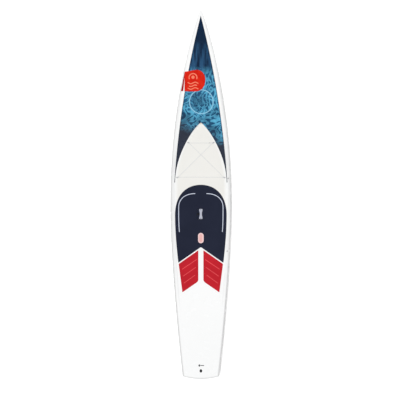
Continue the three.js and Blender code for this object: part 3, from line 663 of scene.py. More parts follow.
def beads(name, colour):
    """Expanded foam: packed beads with darker seams."""
    f = Finish(name, colour, 0.9, Specular_IOR_Level=0.2)
    seam = f.step(f.cells(260, feature="DISTANCE_TO_EDGE"), 0.0, 0.12)
    f.set(Base_Color=f.mix(seam, toned(colour, 0.78), colour))
    f.bump((seam, 0.6, 0.6), (f.noise(800, 3), 0.3, 0.1))
    return f.material


def wood(name):
    """Paulownia: long pale grain with darker pores."""
    f = Finish(name, (0.6, 0.42, 0.25), 0.7)
    grain = f.noise(30, 6, f.place((6, 0.25, 6)), 1.2)
    pores = f.step(f.noise(300, 3, f.place((5, 0.2, 5))), 0.62, 0.7)
    tone = f.mix(f.step(grain, 0.35, 0.65), (0.45, 0.29, 0.15), (0.68, 0.5, 0.31))
    f.set(Base_Color=f.mix(f.times(pores, 0.6), tone, (0.3, 0.18, 0.09)))
    f.bump((grain, 0.3, 0.3), (pores, 0.4, 0.15))
    return f.material


def braid(name):
    """Braided polyester over rubber: two sets of crossing strands, painted shade in the gaps between them, and odd
    tracer threads.
    """
    f = Finish(name, (0.72, 0.73, 0.75), 0.75, Sheen_Weight=0.3, Sheen_Roughness=0.5)
    u, v, _ = f.xyz(f.add("UVMap", {}, uv_map="route").outputs[0])
    strands = []
    for sign in (1, -1):
        slant = f.plus(f.times(u, 8.0), f.times(v, sign))
        strands.append(f.near(f.math("FRACT", slant), 0.5, 0.22, 0.2))
    weave = f.math("MAXIMUM", *strands)
    # painted shade: the gaps between the strands take the darker grey
    fibre = f.noise(2500, 2)
    tone = f.mix(weave, (0.34, 0.35, 0.37), (0.68, 0.69, 0.7))
    f.set(Base_Color=f.mix(f.times(fibre, 0.25), tone, (0.55, 0.56, 0.58)))
    f.bump((weave, 0.5, 0.3), (fibre, 0.4, 0.08))
    return f.material


def composite(name):
    """Moulded dark glass-fibre composite with its cloth just visible."""
    f = Finish(name, (0.02, 0.024, 0.032), 0.3, Coat_Weight=0.3, Coat_Roughness=0.12)
    y, z = f.xyz(f.place())[1:]
    warp = f.math("SINE", f.times(y, 1500.0))
    weft = f.math("SINE", f.times(z, 1500.0))
    cloth = f.step(f.times(warp, weft), -0.3, 0.3)
    f.set(Base_Color=f.mix(cloth, (0.016, 0.019, 0.026), (0.034, 0.039, 0.05)))
    f.set(Roughness=f.step(f.noise(25, 5), 0.3, 0.7, 0.22, 0.42))
    f.bump((cloth, 0.12, 0.05), (f.noise(9, 3), 0.1, 1.0))
    return f.material


def ink(name, colour, worn):
    """Screen-printed ink under the lacquer, with a fine dot grain."""
    f = Finish(name, colour, 0.3, Coat_Weight=0.15, Coat_Roughness=0.1, Specular_IOR_Level=0.15)
    grain = f.noise(500, 3)
    blot = f.step(f.noise(18, 5), 0.35, 0.7)
    tone = f.mix(blot, colour, worn)
    f.set(Base_Color=f.mix(f.times(grain, 0.3), tone, toned(colour, 0.85)))
    f.set(Roughness=f.step(f.noise(14, 5), 0.3, 0.7, 0.22, 0.36))
    f.bump((f.noise(420, 2), 0.1, 0.05))
    return f.material


def nose_artwork(name):
    """A generic pattern in blues: streaks at the tip, contour lines, a ring and a rosette."""
    f = Finish(name, (0.03, 0.06, 0.12), 0.3, Coat_Weight=0.12, Coat_Roughness=0.1, Specular_IOR_Level=0.12)
    x, y, _ = f.xyz(f.place())
    flat = f.add("CombineXYZ", {"X": x, "Y": y}).outputs[0]
    ring_x, ring_y, ring_radius = 0.006, 1.083, 0.137
    dx, dy = f.math("SUBTRACT", x, ring_x), f.math("SUBTRACT", y, ring_y)
    radius = f.math("SQRT", f.plus(f.times(dx, dx), f.times(dy, dy)))
    angle = f.math("ARCTAN2", dy, dx)
    within = f.step(radius, ring_radius - 0.006, ring_radius, 1.0, 0.0)

    # contour lines of two rough fields, and petals inside the ring
    swell = f.math("FRACT", f.times(f.noise(4.2, 1.5, flat, 1.4), 9.0))
    contour = f.near(swell, 0.5, 0.1, 0.14)
    shell = f.math("FRACT", f.times(f.cells(9.0, flat), 2.6))
    scales = f.near(shell, 0.5, 0.1, 0.14)
    lines = f.math("MAXIMUM", contour, f.times(scales, 0.75))
    petal = f.math("SINE", f.plus(f.times(angle, 7.0), f.times(radius, 45.0)))
    ripple = f.math("FRACT", f.times(radius, 22.0))
    rosette = f.times(f.near(petal, 0.3, 0.3, 0.4), f.near(ripple, 0.5, 0.28, 0.2))
    inner = f.math("MAXIMUM", f.times(rosette, 0.8), f.times(contour, 0.7))
    inner = f.times(inner, f.step(dx, -0.09, 0.03, 0.85, 1.4))
    lines = f.mix(within, lines, inner)

    # the pattern is bright in the middle and to the right, and gone at the tip and on the left leg
    aslant = f.plus(y, f.times(x, 0.43))
    patches = f.step(f.noise(5.0, 3, flat), 0.36, 0.6, 0.3, 1.0)
    reach = f.times(f.step(y, 1.5, 1.34), f.step(aslant, 0.64, 0.9))
    bright = f.times(reach, patches)
    streak = f.noise(26, 4, f.place((1, 0.12, 1)))
    mottle = f.noise(30, 4, flat)
    navy = f.mix(mottle, (0.004, 0.013, 0.038), (0.009, 0.025, 0.058))
    slate = f.mix(mottle, (0.024, 0.028, 0.045), (0.034, 0.04, 0.06))
    ground = f.mix(f.step(aslant, 0.9, 0.68), navy, slate)
    wash = f.times(f.step(y, 1.79, 1.7), f.step(y, 0.95, 1.2))
    ground = f.mix(f.times(wash, f.step(streak, 0.36, 0.62)), ground, (0.022, 0.075, 0.16))
    blue = f.mix(mottle, (0.012, 0.075, 0.17), (0.028, 0.14, 0.27))
    ground = f.mix(f.times(bright, 0.95), ground, blue)
    glow = f.mix(mottle, (0.05, 0.29, 0.48), (0.15, 0.49, 0.68))
    colour = f.mix(f.times(lines, f.math("POWER", bright, 0.7)), ground, glow)
    rim = f.near(radius, ring_radius, 0.0045, 0.0025)
    colour = f.mix(f.times(rim, 0.85), colour, (0.27, 0.55, 0.72))
    border = f.step(f.add("Attribute", {}, attribute_name="border").outputs["Fac"], 5.0, 9.0, 1.0, 0.0)
    colour = f.mix(f.times(border, 0.8), colour, (0.006, 0.014, 0.036))
    f.set(Base_Color=colour, Roughness=f.step(f.noise(14, 5), 0.3, 0.7, 0.24, 0.38))
    f.bump((f.noise(420, 2), 0.1, 0.05))
    return f.material


WHITE = (0.86, 0.865, 0.865)
finishes = {
    "deck": lacquer("deck_lacquer", WHITE, (0.77, 0.762, 0.73)),
    "bottom": lacquer("bottom_lacquer", WHITE),
    "artwork": nose_artwork("nose_artwork"),
    "red_ink": ink("red_ink", (0.58, 0.014, 0.006), (0.68, 0.022, 0.008)),
    # the tab's red painted darker as shade, for where it runs onto the rail
    "rail_shade_red_ink": ink("rail_shade_red_ink", (0.3, 0.012, 0.016), (0.36, 0.016, 0.018)),
    "pale_ink": ink("pale_ink", (0.85, 0.22, 0.13), (0.8, 0.18, 0.1)),
    "grey_ink": ink("grey_ink", (0.06, 0.06, 0.065), (0.09, 0.09, 0.095)),
    "navy": foam_rubber("navy_eva", (0.012, 0.0155, 0.033)),
    "red": foam_rubber("red_eva", (0.48, 0.012, 0.022)),
    "red_groove": foam_rubber("red_groove_eva", (0.75, 0.09, 0.1)),
    "pad_line": foam_rubber("pad_line_eva", (0.6, 0.64, 0.74)),
    "pale": foam_rubber("pale_eva", (0.82, 0.58, 0.58)),
    "badge": foam_rubber("badge_eva", (0.74, 0.42, 0.4)),
    "black": moulded("black_plastic", (0.012, 0.013, 0.016)),
    "grip": moulded("grip_plastic", (0.43, 0.445, 0.52), 0.42),
    "dark_navy": moulded("navy_plastic", (0.018, 0.022, 0.042)),
    "grey": moulded("grey_plastic", (0.48, 0.49, 0.51)),
    "mid_grey": moulded("mid_grey_plastic", (0.2, 0.21, 0.2)),
    "membrane": moulded("membrane_plastic", (0.7, 0.7, 0.7), 0.7),
    "rubber": moulded("seal_rubber", (0.015, 0.015, 0.016), 0.8),
    "steel": metal("steel", (0.62, 0.63, 0.65)),
    "brass": metal("brass", (0.6, 0.4, 0.14)),
    "foam": beads("core_foam", (0.86, 0.84, 0.78)),
    "dense": beads("dense_foam", (0.66, 0.5, 0.2)),
    "wood": wood("stringer_wood"),
    "cord": braid("elastic_braid"),
    "fin": composite("fin_composite"),
}


# ---------------------------------------------------------------- hull

def station_lines():
    nose = HALF_LENGTH - TIP_ROUND * np.linspace(0, 1, 19) ** 2
    spans = [(2057, 860, 16), (860, 770, 3.6), (770, 380, 8), (380, -1100, 16), (-1100, -1500, 12),
             (-1500, -1940, 16), (-1940, TAIL_END + TAIL_ROUND, 11)]
    return np.concatenate([nose] + [np.arange(a, b, -step) for a, b, step in spans]
                          + [[TAIL_END + TAIL_ROUND]])


STATIONS = station_lines()
RAIL_TURNS = np.radians([8, 16, 24, 32, 40, 48, 56, 64, 71, 77, 82, 86, 88.5, 90])


def bowed(y, x):
    """Lines across the hull bend with the tail's bow as they near it."""
    return y - smooth((-1900 - y) / (-1900 - TAIL_END)) * (TAIL_END - tail_line(x))


def section(y, inner, part):
    """Right half of a cross-section, from the middle to the rail's seam; inner is how far inside."""
    full = float(half_width(y))
    if part == "deck":
        edge_column = max(float(recess_half_width(y)), min(0.3 * full, 12 + 0.12 * max(y - RECESS_APEX, 0)))
        foot_column = max(float(ramp_foot(y)), 0.6 * edge_column)
        edge = DECK_EDGE * full
        flat = np.concatenate([np.linspace(0, foot_column, 9)[:-1],
                               np.linspace(foot_column, edge_column, 9)[:-1],
                               np.linspace(edge_column, edge, 9)])
        heights = deck_height(flat, bowed(y, flat)) - inner
    else:
        edge = BOTTOM_EDGE * full
        flat = np.linspace(0, edge, 17)
        lines = bowed(y, flat)
        heights = keel_height(lines) + deadrise(lines) * (np.sqrt(flat ** 2 + 144) - 12) / full + inner
    across = edge + (full - edge) * np.sin(RAIL_TURNS)
    rail = rail_height(bowed(y, across))
    x = np.concatenate([flat, across])
    z = np.concatenate([heights, rail + (heights[-1] - rail) * np.cos(RAIL_TURNS)])
    return x * max(full - inner, 0.2) / full, bowed(y, x), z


def hull_rows(inner, part):
    """Cross-sections from nose to tail, then the tail's rounded edge and its end face."""
    rows = []
    for station in STATIONS:
        x, y, z = section(station, inner, part)
        from_tip = min((HALF_LENGTH - station) / TIP_HALF_WIDTH, 1)
        rows.append((x * math.sqrt(1 - (1 - from_tip) ** 2), y, z))
    for turn in np.radians([15, 30, 45, 60, 75, 90]):
        x, y, z = section(TAIL_END, max(inner, TAIL_ROUND * (1 - math.cos(turn))), part)
        rows.append((x, y + TAIL_ROUND * (1 - math.sin(turn)), z))
    x, y, z = rows[-1]
    for part_way in (0.25, 0.5, 0.75, 1.0):
        rows.append((x, y, z + (z[-1] - z) * part_way))
    result = []
    for x, y, z in rows:
        y = np.clip(y, tail_line(x) + inner, HALF_LENGTH - inner)
        right = np.column_stack([x, y, z])
        result.append(np.concatenate([(right * (-1, 1, 1))[:0:-1], right]))
    return np.array(result)


def shell(part):
    """A skin of even depth: its outer and inner surfaces, joined along the seam and the tail."""
    outer, inner = hull_rows(0, part), hull_rows(SKIN, part)
    shape = Shape().grid(outer).grid(inner[:, ::-1])
    shape.grid(np.stack([outer[:, 0], inner[:, 0]], 1))
    shape.grid(np.stack([outer[:, -1], inner[:, -1]], 1))
    shape.grid(np.stack([outer[-1], inner[-1]], 1))
    return shape


def deck_frame(x, y):
    """A place on the deck that leans with it along Y."""
    lean = math.atan2(float(deck_height(x, y + 20) - deck_height(x, y - 20)), 40)
    spot = Matrix.Translation((x, y, float(deck_height(x, y))))
    return BOARD @ spot @ Matrix.Rotation(lean, 4, "X")


def add_marks(thing, **marks):
    """Adds a number to each vertex for every named function of the board's X, Y."""
    back = BOARD.inverted()
    points = np.array([back @ v.co for v in thing.data.vertices])
    for name, rule in marks.items():
        mark = thing.data.attributes.new(name, "FLOAT", "POINT")
        mark.data.foreach_set("value", rule(np.abs(points[:, 0]), points[:, 1]).astype(np.float32))


def floor_mark(x, y):
    """The recessed floor is cream ahead of the pads and fades to white beside them."""
    return share((recess_half_width(y) - x) / RECESS_RAMP - 1) * smooth((y + 800) / 700)


def rail_shade_mark(x, y):
    """Painted shade: the lacquer is a little greyer on the rails, round the tail and on the recess's border, where
    the surface rolls away from the light.
    """
    full = half_width(y)
    depth = np.minimum(26, 0.35 * full)
    rail = smooth((x - full + depth) / (0.6 * depth)) * (1 - 0.6 * smooth((y - 900) / 900))
    tail = smooth((tail_line(x) + 16 - y) / 10)
    border = share((x - recess_half_width(y)) / 10) * smooth((1000 - y) / 700) * smooth((y + 1300) / 900)
    return np.maximum(np.maximum(rail, tail), 0.5 * border)


BUNGEE_CORNERS = {"front_left": (-149, 612), "front_right": (149, 612),
                  "rear_left": (-276, 206), "rear_right": (276, 206)}
STRAP_PLUGS = {"strap_plug_front": (316, 197), "strap_plug_rear": (305, -645)}
HANDLE = deck_frame(0, HANDLE_Y)
LEASH = deck_frame(0, LEASH_Y)


def make_hull():
    deck = shell("deck").object("hull_deck", BOARD)
    hole = cylinder(7.2, -9, 9, 40)
    spots = [deck_frame(*spot) for spot in [*BUNGEE_CORNERS.values(), *STRAP_PLUGS.values()]]
    tools = [hole] * len(spots) + [slot_solid([(3.2, -60), (3.2, 20)], *CUP_SIZE),
                                   slot_solid([(0.2, -30), (0.2, 9)], *LEASH_CUP_SIZE)]
    carve(deck, tools, spots + [HANDLE, LEASH])
    # the rail mark is painted shade: greyer lacquer on the rails, round the tail and on the recess's border
    add_marks(deck, floor=floor_mark, rail=rail_shade_mark)
    finish_piece(deck, finishes["deck"], stands_for=["deck_shell"])
    bottom = shell("bottom").object("hull_bottom", BOARD)
    carve(bottom, [slot_solid([(0.2, -20), (0.2, 29)], *FIN_BOX_SIZE)], FIN_BOX)
    # the rail mark is painted shade on the bottom's rails and round the tail
    add_marks(bottom, rail=rail_shade_mark)
    finish_piece(bottom, finishes["bottom"], stands_for=["bottom_shell"])
    last = len(STATIONS) + 6
    tops, keels = (hull_rows(SKIN + CORE_GAP, part)[1:last] for part in ("deck", "bottom"))
    core = Shape().rings([np.concatenate([top, keel[-2:0:-1]]) for top, keel in zip(tops, keels)])
    for name in ("foam_core_left", "foam_core_right"):
        half = linked(f"{name}_fine", frame["nodes"][name].data.copy())
        half.data.materials.clear()
        carve(half, [core], BOARD, "INTERSECT")
        stand_in(name, half, "foam")


# ---------------------------------------------------------------- printed films

def print_edge(y):
    """Half width of the nose print, a white border inside the rail."""
    back = 2071 - y
    return np.maximum(back * (0.2625 - 5.9e-5 * back + 2.9e-9 * back ** 2), 0)


def make_nose_print():
    lines = STATIONS[(STATIONS < 2070) & (STATIONS > 150)]
    lines = np.concatenate([[2070.5, 2066], lines, [150]])
    halves = []
    for y in lines:
        drop = RECESS_RAMP * float(smooth((800 - y) / 250))
        low = float(recess_half_width(y)) - drop if y < RECESS_APEX else 0.0
        low, high = max(low, 0.0), float(print_edge(y))
        high = max(high, low + 0.05)
        ramp = min(14.0, 0.6 * (high - low))
        x = np.concatenate([low + np.linspace(0, ramp, 9)[:-1], np.linspace(low + ramp, high, 15)])
        halves.append(np.column_stack([x, np.full(len(x), y), deck_height(x, y) + 0.1 + FILM]))
    halves = np.array(halves)
    shape = Shape().grid(halves).grid((halves * (-1, 1, 1))[:, ::-1])
    film = shape.object("nose_print", BOARD)
    skin = film.modifiers.new("skin", "SOLIDIFY")
    skin.thickness = FILM * MM
    skin.offset = -1
    settle(film)
    add_marks(film, border=lambda x, y: print_edge(y) - x)
    finish_piece(film, finishes["artwork"])


def film_piece(name, loop, level, finish, spacing=12, holes=()):
    shape = slab(loop, deck_height, level, level + 0.25, 0.08, holes=holes, spacing=spacing, steps=1)
    return finish_piece(shape.object(name, BOARD), finish)


def make_nose_patch():
    """A red tab across the left of the print, with an emblem of waves; beside it a darker red stripe on the rail,
    which is the tab's red painted darker as shade, and a white wedge between them left as a painted highlight
    along the rail's edge.
    """
    tab = np.concatenate([
        line((-187, 1429), (-62, 1450)),
        bezier((-62, 1450), (10, 1458), (52, 1400), (52, 1334)),
        bezier((52, 1334), (52, 1262), (10, 1203), (-60, 1203)),
        line((-60, 1203), (-190, 1205)), line((-190, 1205), (-187, 1429))])
    level = 0.5 + FILM
    film_piece("nose_tab", rounded(tab, 2), level, finishes["red_ink"])
    # painted shade and highlight: the stripe is the tab's red darkened where it runs onto the rail, and the white
    # wedge left between it and the tab stands for the rail edge's highlight
    stripe = polygon([(-188, 1428), (-230, 1206), (-203, 1206), (-188, 1360)])
    film_piece("nose_tab_rail_shade", rounded(stripe, 1), level, finishes["rail_shade_red_ink"])
    centre = np.array((-90.0, 1324.0))
    level += 0.3
    for k, (drop, reach) in enumerate(((-88, 58), (-56, 42), (-24, 58))):
        x = np.linspace(-reach, reach, 40)
        wave = centre + np.column_stack([x, drop + 9 * np.sin(x / 16)])
        film_piece(f"nose_tab_wave_{k}", band(wave, 12), level, finishes["pale_ink"], 6)
    turn = np.linspace(-0.1 * np.pi, 1.1 * np.pi, 40)
    sun = centre + np.column_stack([46 * np.cos(turn), 38 + 46 * np.sin(turn)])
    film_piece("nose_tab_sun", band(sun, 12), level, finishes["pale_ink"], 6)
    turn = full_turn(30)
    disc = centre + np.column_stack([19 * np.cos(turn), 42 + 19 * np.sin(turn)])
    film_piece("nose_tab_disc", disc, level, finishes["pale_ink"], 6)


def make_tail_mark():
    """A small grey drop and dash ahead of the leash plug."""
    turn = full_turn(24)
    drop = np.column_stack([-17 + 11 * np.cos(turn), -1975 + 13 * np.sin(turn)])
    film_piece("tail_mark_drop", rounded(drop, 0.01, 180), 0.1, finishes["grey_ink"], 5)
    film_piece("tail_mark_dash", band(line((2, -1975), (36, -1975), 3), 9), 0.1, finishes["grey_ink"], 5)


# ---------------------------------------------------------------- deck pads

def pad_piece(name, shape, finish, stands_for):
    piece = finish_piece(shape.object(name, BOARD), finish, stands_for=stands_for)
    return piece


def slot_loop(length, width, y):
    return rounded(slot_ring(length, width, 0)[:, :2] + (0, y), 0.01, 180)


def main_pad_outline():
    right = np.concatenate([
        bezier((0, 123), (176, 123), (299, -4), (299, -225), 34),
        bezier((299, -225), (299, -420), (280, -620), (261, -781), 34),
        line((261, -781), (0, -599))])
    left = (right * (-1, 1))[:0:-1]
    return rounded(np.concatenate([right, [(0, -599)], left]), PAD_CORNER)


def pad_line(side):
    path = np.concatenate([
        bezier((68, 21), (170, 21), (257, -30), (257, -140), 24),
        bezier((257, -140), (257, -230), (257, -330), (249, -420), 20), [(249, -420)]])
    return band(path * (side, 1), 8)


def kick_pad_outline(side):
    corners = [(29.5, -635), (257, -794), (214, -1124), (49.5, -1010)]
    sides = [line(a, b) for a, b in zip(corners, corners[1:])]
    round_end = bend(corners[-1], (29.5, -994), (29.5, -974), 8)
    outline = np.concatenate(sides + [round_end[:-1], line((29.5, -974), corners[0])])
    return rounded(outline * (side, 1), PAD_CORNER)


def groove(side, k):
    start = np.array((side * (214 - 9 * k), -854 - 81 * k), float)
    end = np.array((side * (45 + 9 * k), -739 - 1.12 * 81 * k), float)
    return band(line(start, end, 8), 6)


def make_pads():
    main = slab(main_pad_outline(), floor_level, PAD_LOW, PAD_HIGH, 1.6,
                holes=[slot_loop(142.3, 100.3, HANDLE_Y), slot_loop(120, 65, BADGE_Y)],
                pockets=[(pad_line(1), 3.6), (pad_line(-1), 3.6)])
    pad_piece("main_pad", main, [finishes["navy"], finishes["pad_line"]], ["main_deck_pad"])
    badge = slab(slot_loop(119, 64, BADGE_Y), floor_level, PAD_LOW, PAD_HIGH, 1.0,
                 pockets=[(slot_loop(93, 38, BADGE_Y), 0.8)], spacing=8)
    pad_piece("badge", badge, [finishes["pale"], finishes["badge"]], ["pad_badge"])
    for name, side in (("kick_pad_right", 1), ("kick_pad_left", -1)):
        shape = slab(kick_pad_outline(side), floor_level, PAD_LOW, PAD_HIGH, 1.6,
                     pockets=[(groove(side, k), 2.0) for k in range(3)])
        pad_piece(f"{name}_foam", shape, [finishes["red"], finishes["red_groove"]], [name])


# ---------------------------------------------------------------- handle and vent

def pan_screw(seat, length):
    """A pan-head screw, seated at a height, its shank going down; add_screw cuts its cross recess."""
    shank = [(0, seat - length), (1.2, seat - length), (2, seat - length + 1.5)]
    threads = [(2 - 0.35 * (k % 2), seat - length + 1.5 + 0.4 * k) for k in range(1, int((length - 2) / 0.4))]
    head = [(2, seat), (4.1, seat), (4.4, seat + 0.3), (4.35, seat + 1.2), (3.9, seat + 1.9),
            (3.0, seat + 2.3), (1.5, seat + 2.4), (0, seat + 2.4)]
    return turned(shank + threads + head, 28)


def add_screw(name, place, seat, length, body="board", flip=False):
    spot = place @ Matrix.Rotation(math.pi, 4, "X") if flip else place
    screw = pan_screw(seat, length).object(f"{name}_fine", spot)
    cross = [box(5.2, 1.1, 3, (0, 0, seat + 2.9)), box(1.1, 5.2, 3, (0, 0, seat + 2.9))]
    carve(screw, cross, spot, sharp=30)
    stand_in(name, screw, "steel", body)


def grip_rings():
    """Rings along the peanut-shaped grip; its outline is the CAD's own curve."""
    reach, end, waist, corner = 59, 20, 13, 10
    side = bezier((waist, 0), (waist, reach / 2), (end, reach / 2), (end, reach - corner), 40)
    outline = np.concatenate([side, bend((end, reach - corner), (end, reach), (end - corner, reach), 24)])
    turn = full_turn(44)
    c, s = np.cos(turn), np.sin(turn)
    rings = []
    for y in reach * np.sin(np.linspace(-np.pi / 2, np.pi / 2, 71)):
        width = np.interp(abs(y), outline[:, 1], outline[:, 0])
        past = share((abs(y) - reach + 5) / 5)
        height = 7 - 2.5 * (1 - math.sqrt(1 - past ** 2))
        x = width * np.sign(c) * np.abs(c) ** 0.62
        z = -1 + height * np.sign(s) * np.abs(s) ** 0.62
        rings.append(np.column_stack([x, np.full(len(x), y), z]))
    return rings


def make_handle():
    walls = [(-8, -44), (-5, -43.4), (-2.3, -41.7), (-0.6, -39), (0, -36), (0, -0.6), (0.25, 0.4), (0.8, 0.9),
             (1.5, 1.0), (2.3, 0.9), (2.8, 0.4), (3, -0.6), (3, -46), (2, -47)]
    cup = slot_solid(walls, *CUP_SIZE).object("handle_cup_fine", HANDLE)
    posts = []
    for side in (1, -1):
        rings = [np.column_stack([rounded(polygon([(-w, 41 + d), (w, 41 + d), (w, 69.5), (-w, 69.5)], 40), 4),
                                  np.full(28, z)]) * (1, side, 1)
                 for w, d, z in ((18.5, -1, -45), (17, 0, -30), (17, 0, -9.3), (16, 1, -8.3))]
        posts.append(Shape().rings(rings))
    carve(cup, posts, HANDLE, "UNION")
    vent_hole = cylinder(13.2, -60, -40, 40).moved(shift(VENT_X, 0, 0))
    holes = [cylinder(SCREW_HOLE, -20, 0, 20).moved(shift(0, y, 0)) for y in HANDLE_SCREWS.values()]
    carve(cup, [vent_hole, *holes], HANDLE)
    stand_in("handle_cup", cup, "dark_navy")

    grip = Shape().rings(grip_rings()).object("handle_grip_fine", HANDLE)
    bores = []
    for y in HANDLE_SCREWS.values():
        bore = turned([(0, -12), (2.3, -12), (2.3, 3), (5, 3), (5, 5.2), (5.6, 6.6), (5.6, 8), (0, 8)])
        bores.append(bore.moved(shift(0, y, 0)))
    carve(grip, bores, HANDLE)
    stand_in("handle_grip", grip, "grip")
    for name, y in HANDLE_SCREWS.items():
        add_screw(name, HANDLE @ shift(0, y, 0), 3.3, 20)
    make_vent()


def make_vent():
    spot = HANDLE @ shift(VENT_X, 0, 0)
    profile = [(3.5, -62), (12.2, -62), (13, -61), (13, -43.6), (12.4, -43), (10.8, -43), (10.3, -43.5),
               (10.3, -49), (7, -49), (7, -52), (3.5, -52), (3.5, -62)]
    stand_in("vent_body", hollow(profile, 48).object("vent_body_fine", spot), "black")
    profile = [(0, -48.4), (6.5, -48.4), (6.5, -46.6), (9.6, -46.6), (10, -46.2), (10, -44.1),
               (9.5, -43.6), (0, -43.6)]
    plug = turned(profile, 48).object("vent_plug_fine", spot)
    tools = [box(14, 2.2, 2, (0, 0, -43.6))]
    for k in range(12):
        notch = box(1.2, 1.6, 4, (10.2, 0, -43.6)).moved(Matrix.Rotation(math.tau * k / 12, 4, "Z"))
        tools.append(notch)
    carve(plug, tools, spot)
    stand_in("vent_plug", plug, "black", "vent_plug")


# ---------------------------------------------------------------- small deck fittings

def add_insert(name, place, finish="grey"):
    profile = [(2.4, -20), (6.6, -20), (7, -19), (7, -0.5), (6.6, -0.1), (3.0, -0.1), (2.4, -0.6), (2.4, -20)]
    ring = hollow(profile, 36).object(f"{name}_insert_fine", place)
    stand_in(f"{name}_insert", ring, finish)


def eye_turn(side, front):
    """Direction from an eye's screw to its ring: half-way between the two runs that meet there."""
    (front_x, front_y), (rear_x, rear_y) = BUNGEE_CORNERS["front_right"], BUNGEE_CORNERS["rear_right"]
    run = Vector((-(front_x + rear_x), (front_y - rear_y) * (-1 if front else 1))).normalized()
    middle = (run + Vector((-1, 0))).normalized()
    return math.atan2(middle.y, side * middle.x)


def add_eye(name, place, turn):
    """A moulded tab under the screw, with a ring that the cord runs through."""
    spot = place @ Matrix.Rotation(turn, 4, "Z")
    tab = turned([(0, 0.5), (7.6, 0.5), (8, 0.9), (8, 2.1), (7.5, 2.9), (5.5, 2.9), (5.2, 2.6), (0, 2.6)], 40)
    eye = tab.object(f"{name}_eye_fine", spot)
    centre = shift(EYE_REACH, 0, BUNGEE_HEIGHT) @ Matrix.Rotation(math.pi / 2, 4, "X")
    corners = rounded(polygon([(5, -2.5), (6.8, -2.5), (6.8, 2.5), (5, 2.5)], 30), 0.8)
    steps = full_turn(48)
    torus = [np.column_stack([corners[:, 0] * math.cos(a), corners[:, 0] * math.sin(a), corners[:, 1]])
             for a in steps]
    ring = Shape().rings(torus + torus[:1], caps=False).moved(centre)
    neck = box(8, 4.6, 2.2, (7, 0, 1.7))
    carve(eye, [neck, ring], spot, "UNION", 30)
    clear = cylinder(4.9, -5, 5, 48).moved(centre)
    bore = cylinder(SCREW_HOLE, -2, 5, 24)
    carve(eye, [clear, bore], spot, sharp=30)
    stand_in(f"{name}_eye", eye, "grey")


def eye_ring(corner):
    x, y = BUNGEE_CORNERS[corner]
    turn = eye_turn(1 if x > 0 else -1, corner.startswith("front"))
    return Vector((x + EYE_REACH * math.cos(turn), y + EYE_REACH * math.sin(turn)))


def bungee_points():
    """From the ferrule round the four eyes and back, with the first diagonal passing over the second."""
    corners = [eye_ring(c) for c in ("front_right", "rear_left", "rear_right", "front_left")]
    start = Vector((101, corners[0].y))
    crossing = corners[0].lerp(corners[1], corners[0].x / (corners[0].x - corners[1].x))
    points = [(101.3, start.y, 0.0)]
    stops = [start, *corners, start]
    for k in range(1, 5):
        before, at, after = stops[k - 1], stops[k], stops[k + 1]
        back, on = (before - at).normalized(), (after - at).normalized()
        along = (on - back).normalized()
        reach_back, reach_on = min(55, 0.6 * (before - at).length), min(55, 0.6 * (after - at).length)
        for point in (at + back * reach_back, at + back * 17.6, at - along * 4, at + along * 4,
                      at + on * 17.6, at + on * reach_on):
            points.append((*point, 0.0))
        if k in (1, 3):
            lift = 2.8 if k == 1 else -2.8
            points += [(*(crossing - on * 22), 0.0), (*crossing, lift), (*(crossing + on * 22), 0.0)]
    points.append((100.7, start.y, 0.0))
    return np.array([(x, y, float(floor_height(y)) + BUNGEE_HEIGHT + lift) for x, y, lift in points])


def curve_through(points, per_span):
    """A centripetal Catmull-Rom curve."""
    points = np.concatenate([[2 * points[0] - points[1]], points, [2 * points[-1] - points[-2]]])
    knots = np.concatenate([[0], np.cumsum(np.linalg.norm(np.diff(points, axis=0), axis=1) ** 0.5)])
    result = []
    for k in range(1, len(points) - 2):
        t0, t1, t2, t3 = knots[k - 1:k + 3]
        p0, p1, p2, p3 = points[k - 1:k + 3]
        t = np.linspace(t1, t2, per_span(np.linalg.norm(p2 - p1)), endpoint=False)[:, None]
        a1, a2, a3 = (((b - t) * p + (t - a) * q) / (b - a)
                      for a, b, p, q in ((t0, t1, p0, p1), (t1, t2, p1, p2), (t2, t3, p2, p3)))
        b1 = ((t2 - t) * a1 + (t - t0) * a2) / (t2 - t0)
        b2 = ((t3 - t) * a2 + (t - t1) * a3) / (t3 - t1)
        result.append(((t2 - t) * b1 + (t - t1) * b2) / (t2 - t1))
    return np.concatenate(result + [points[-2:-1]])


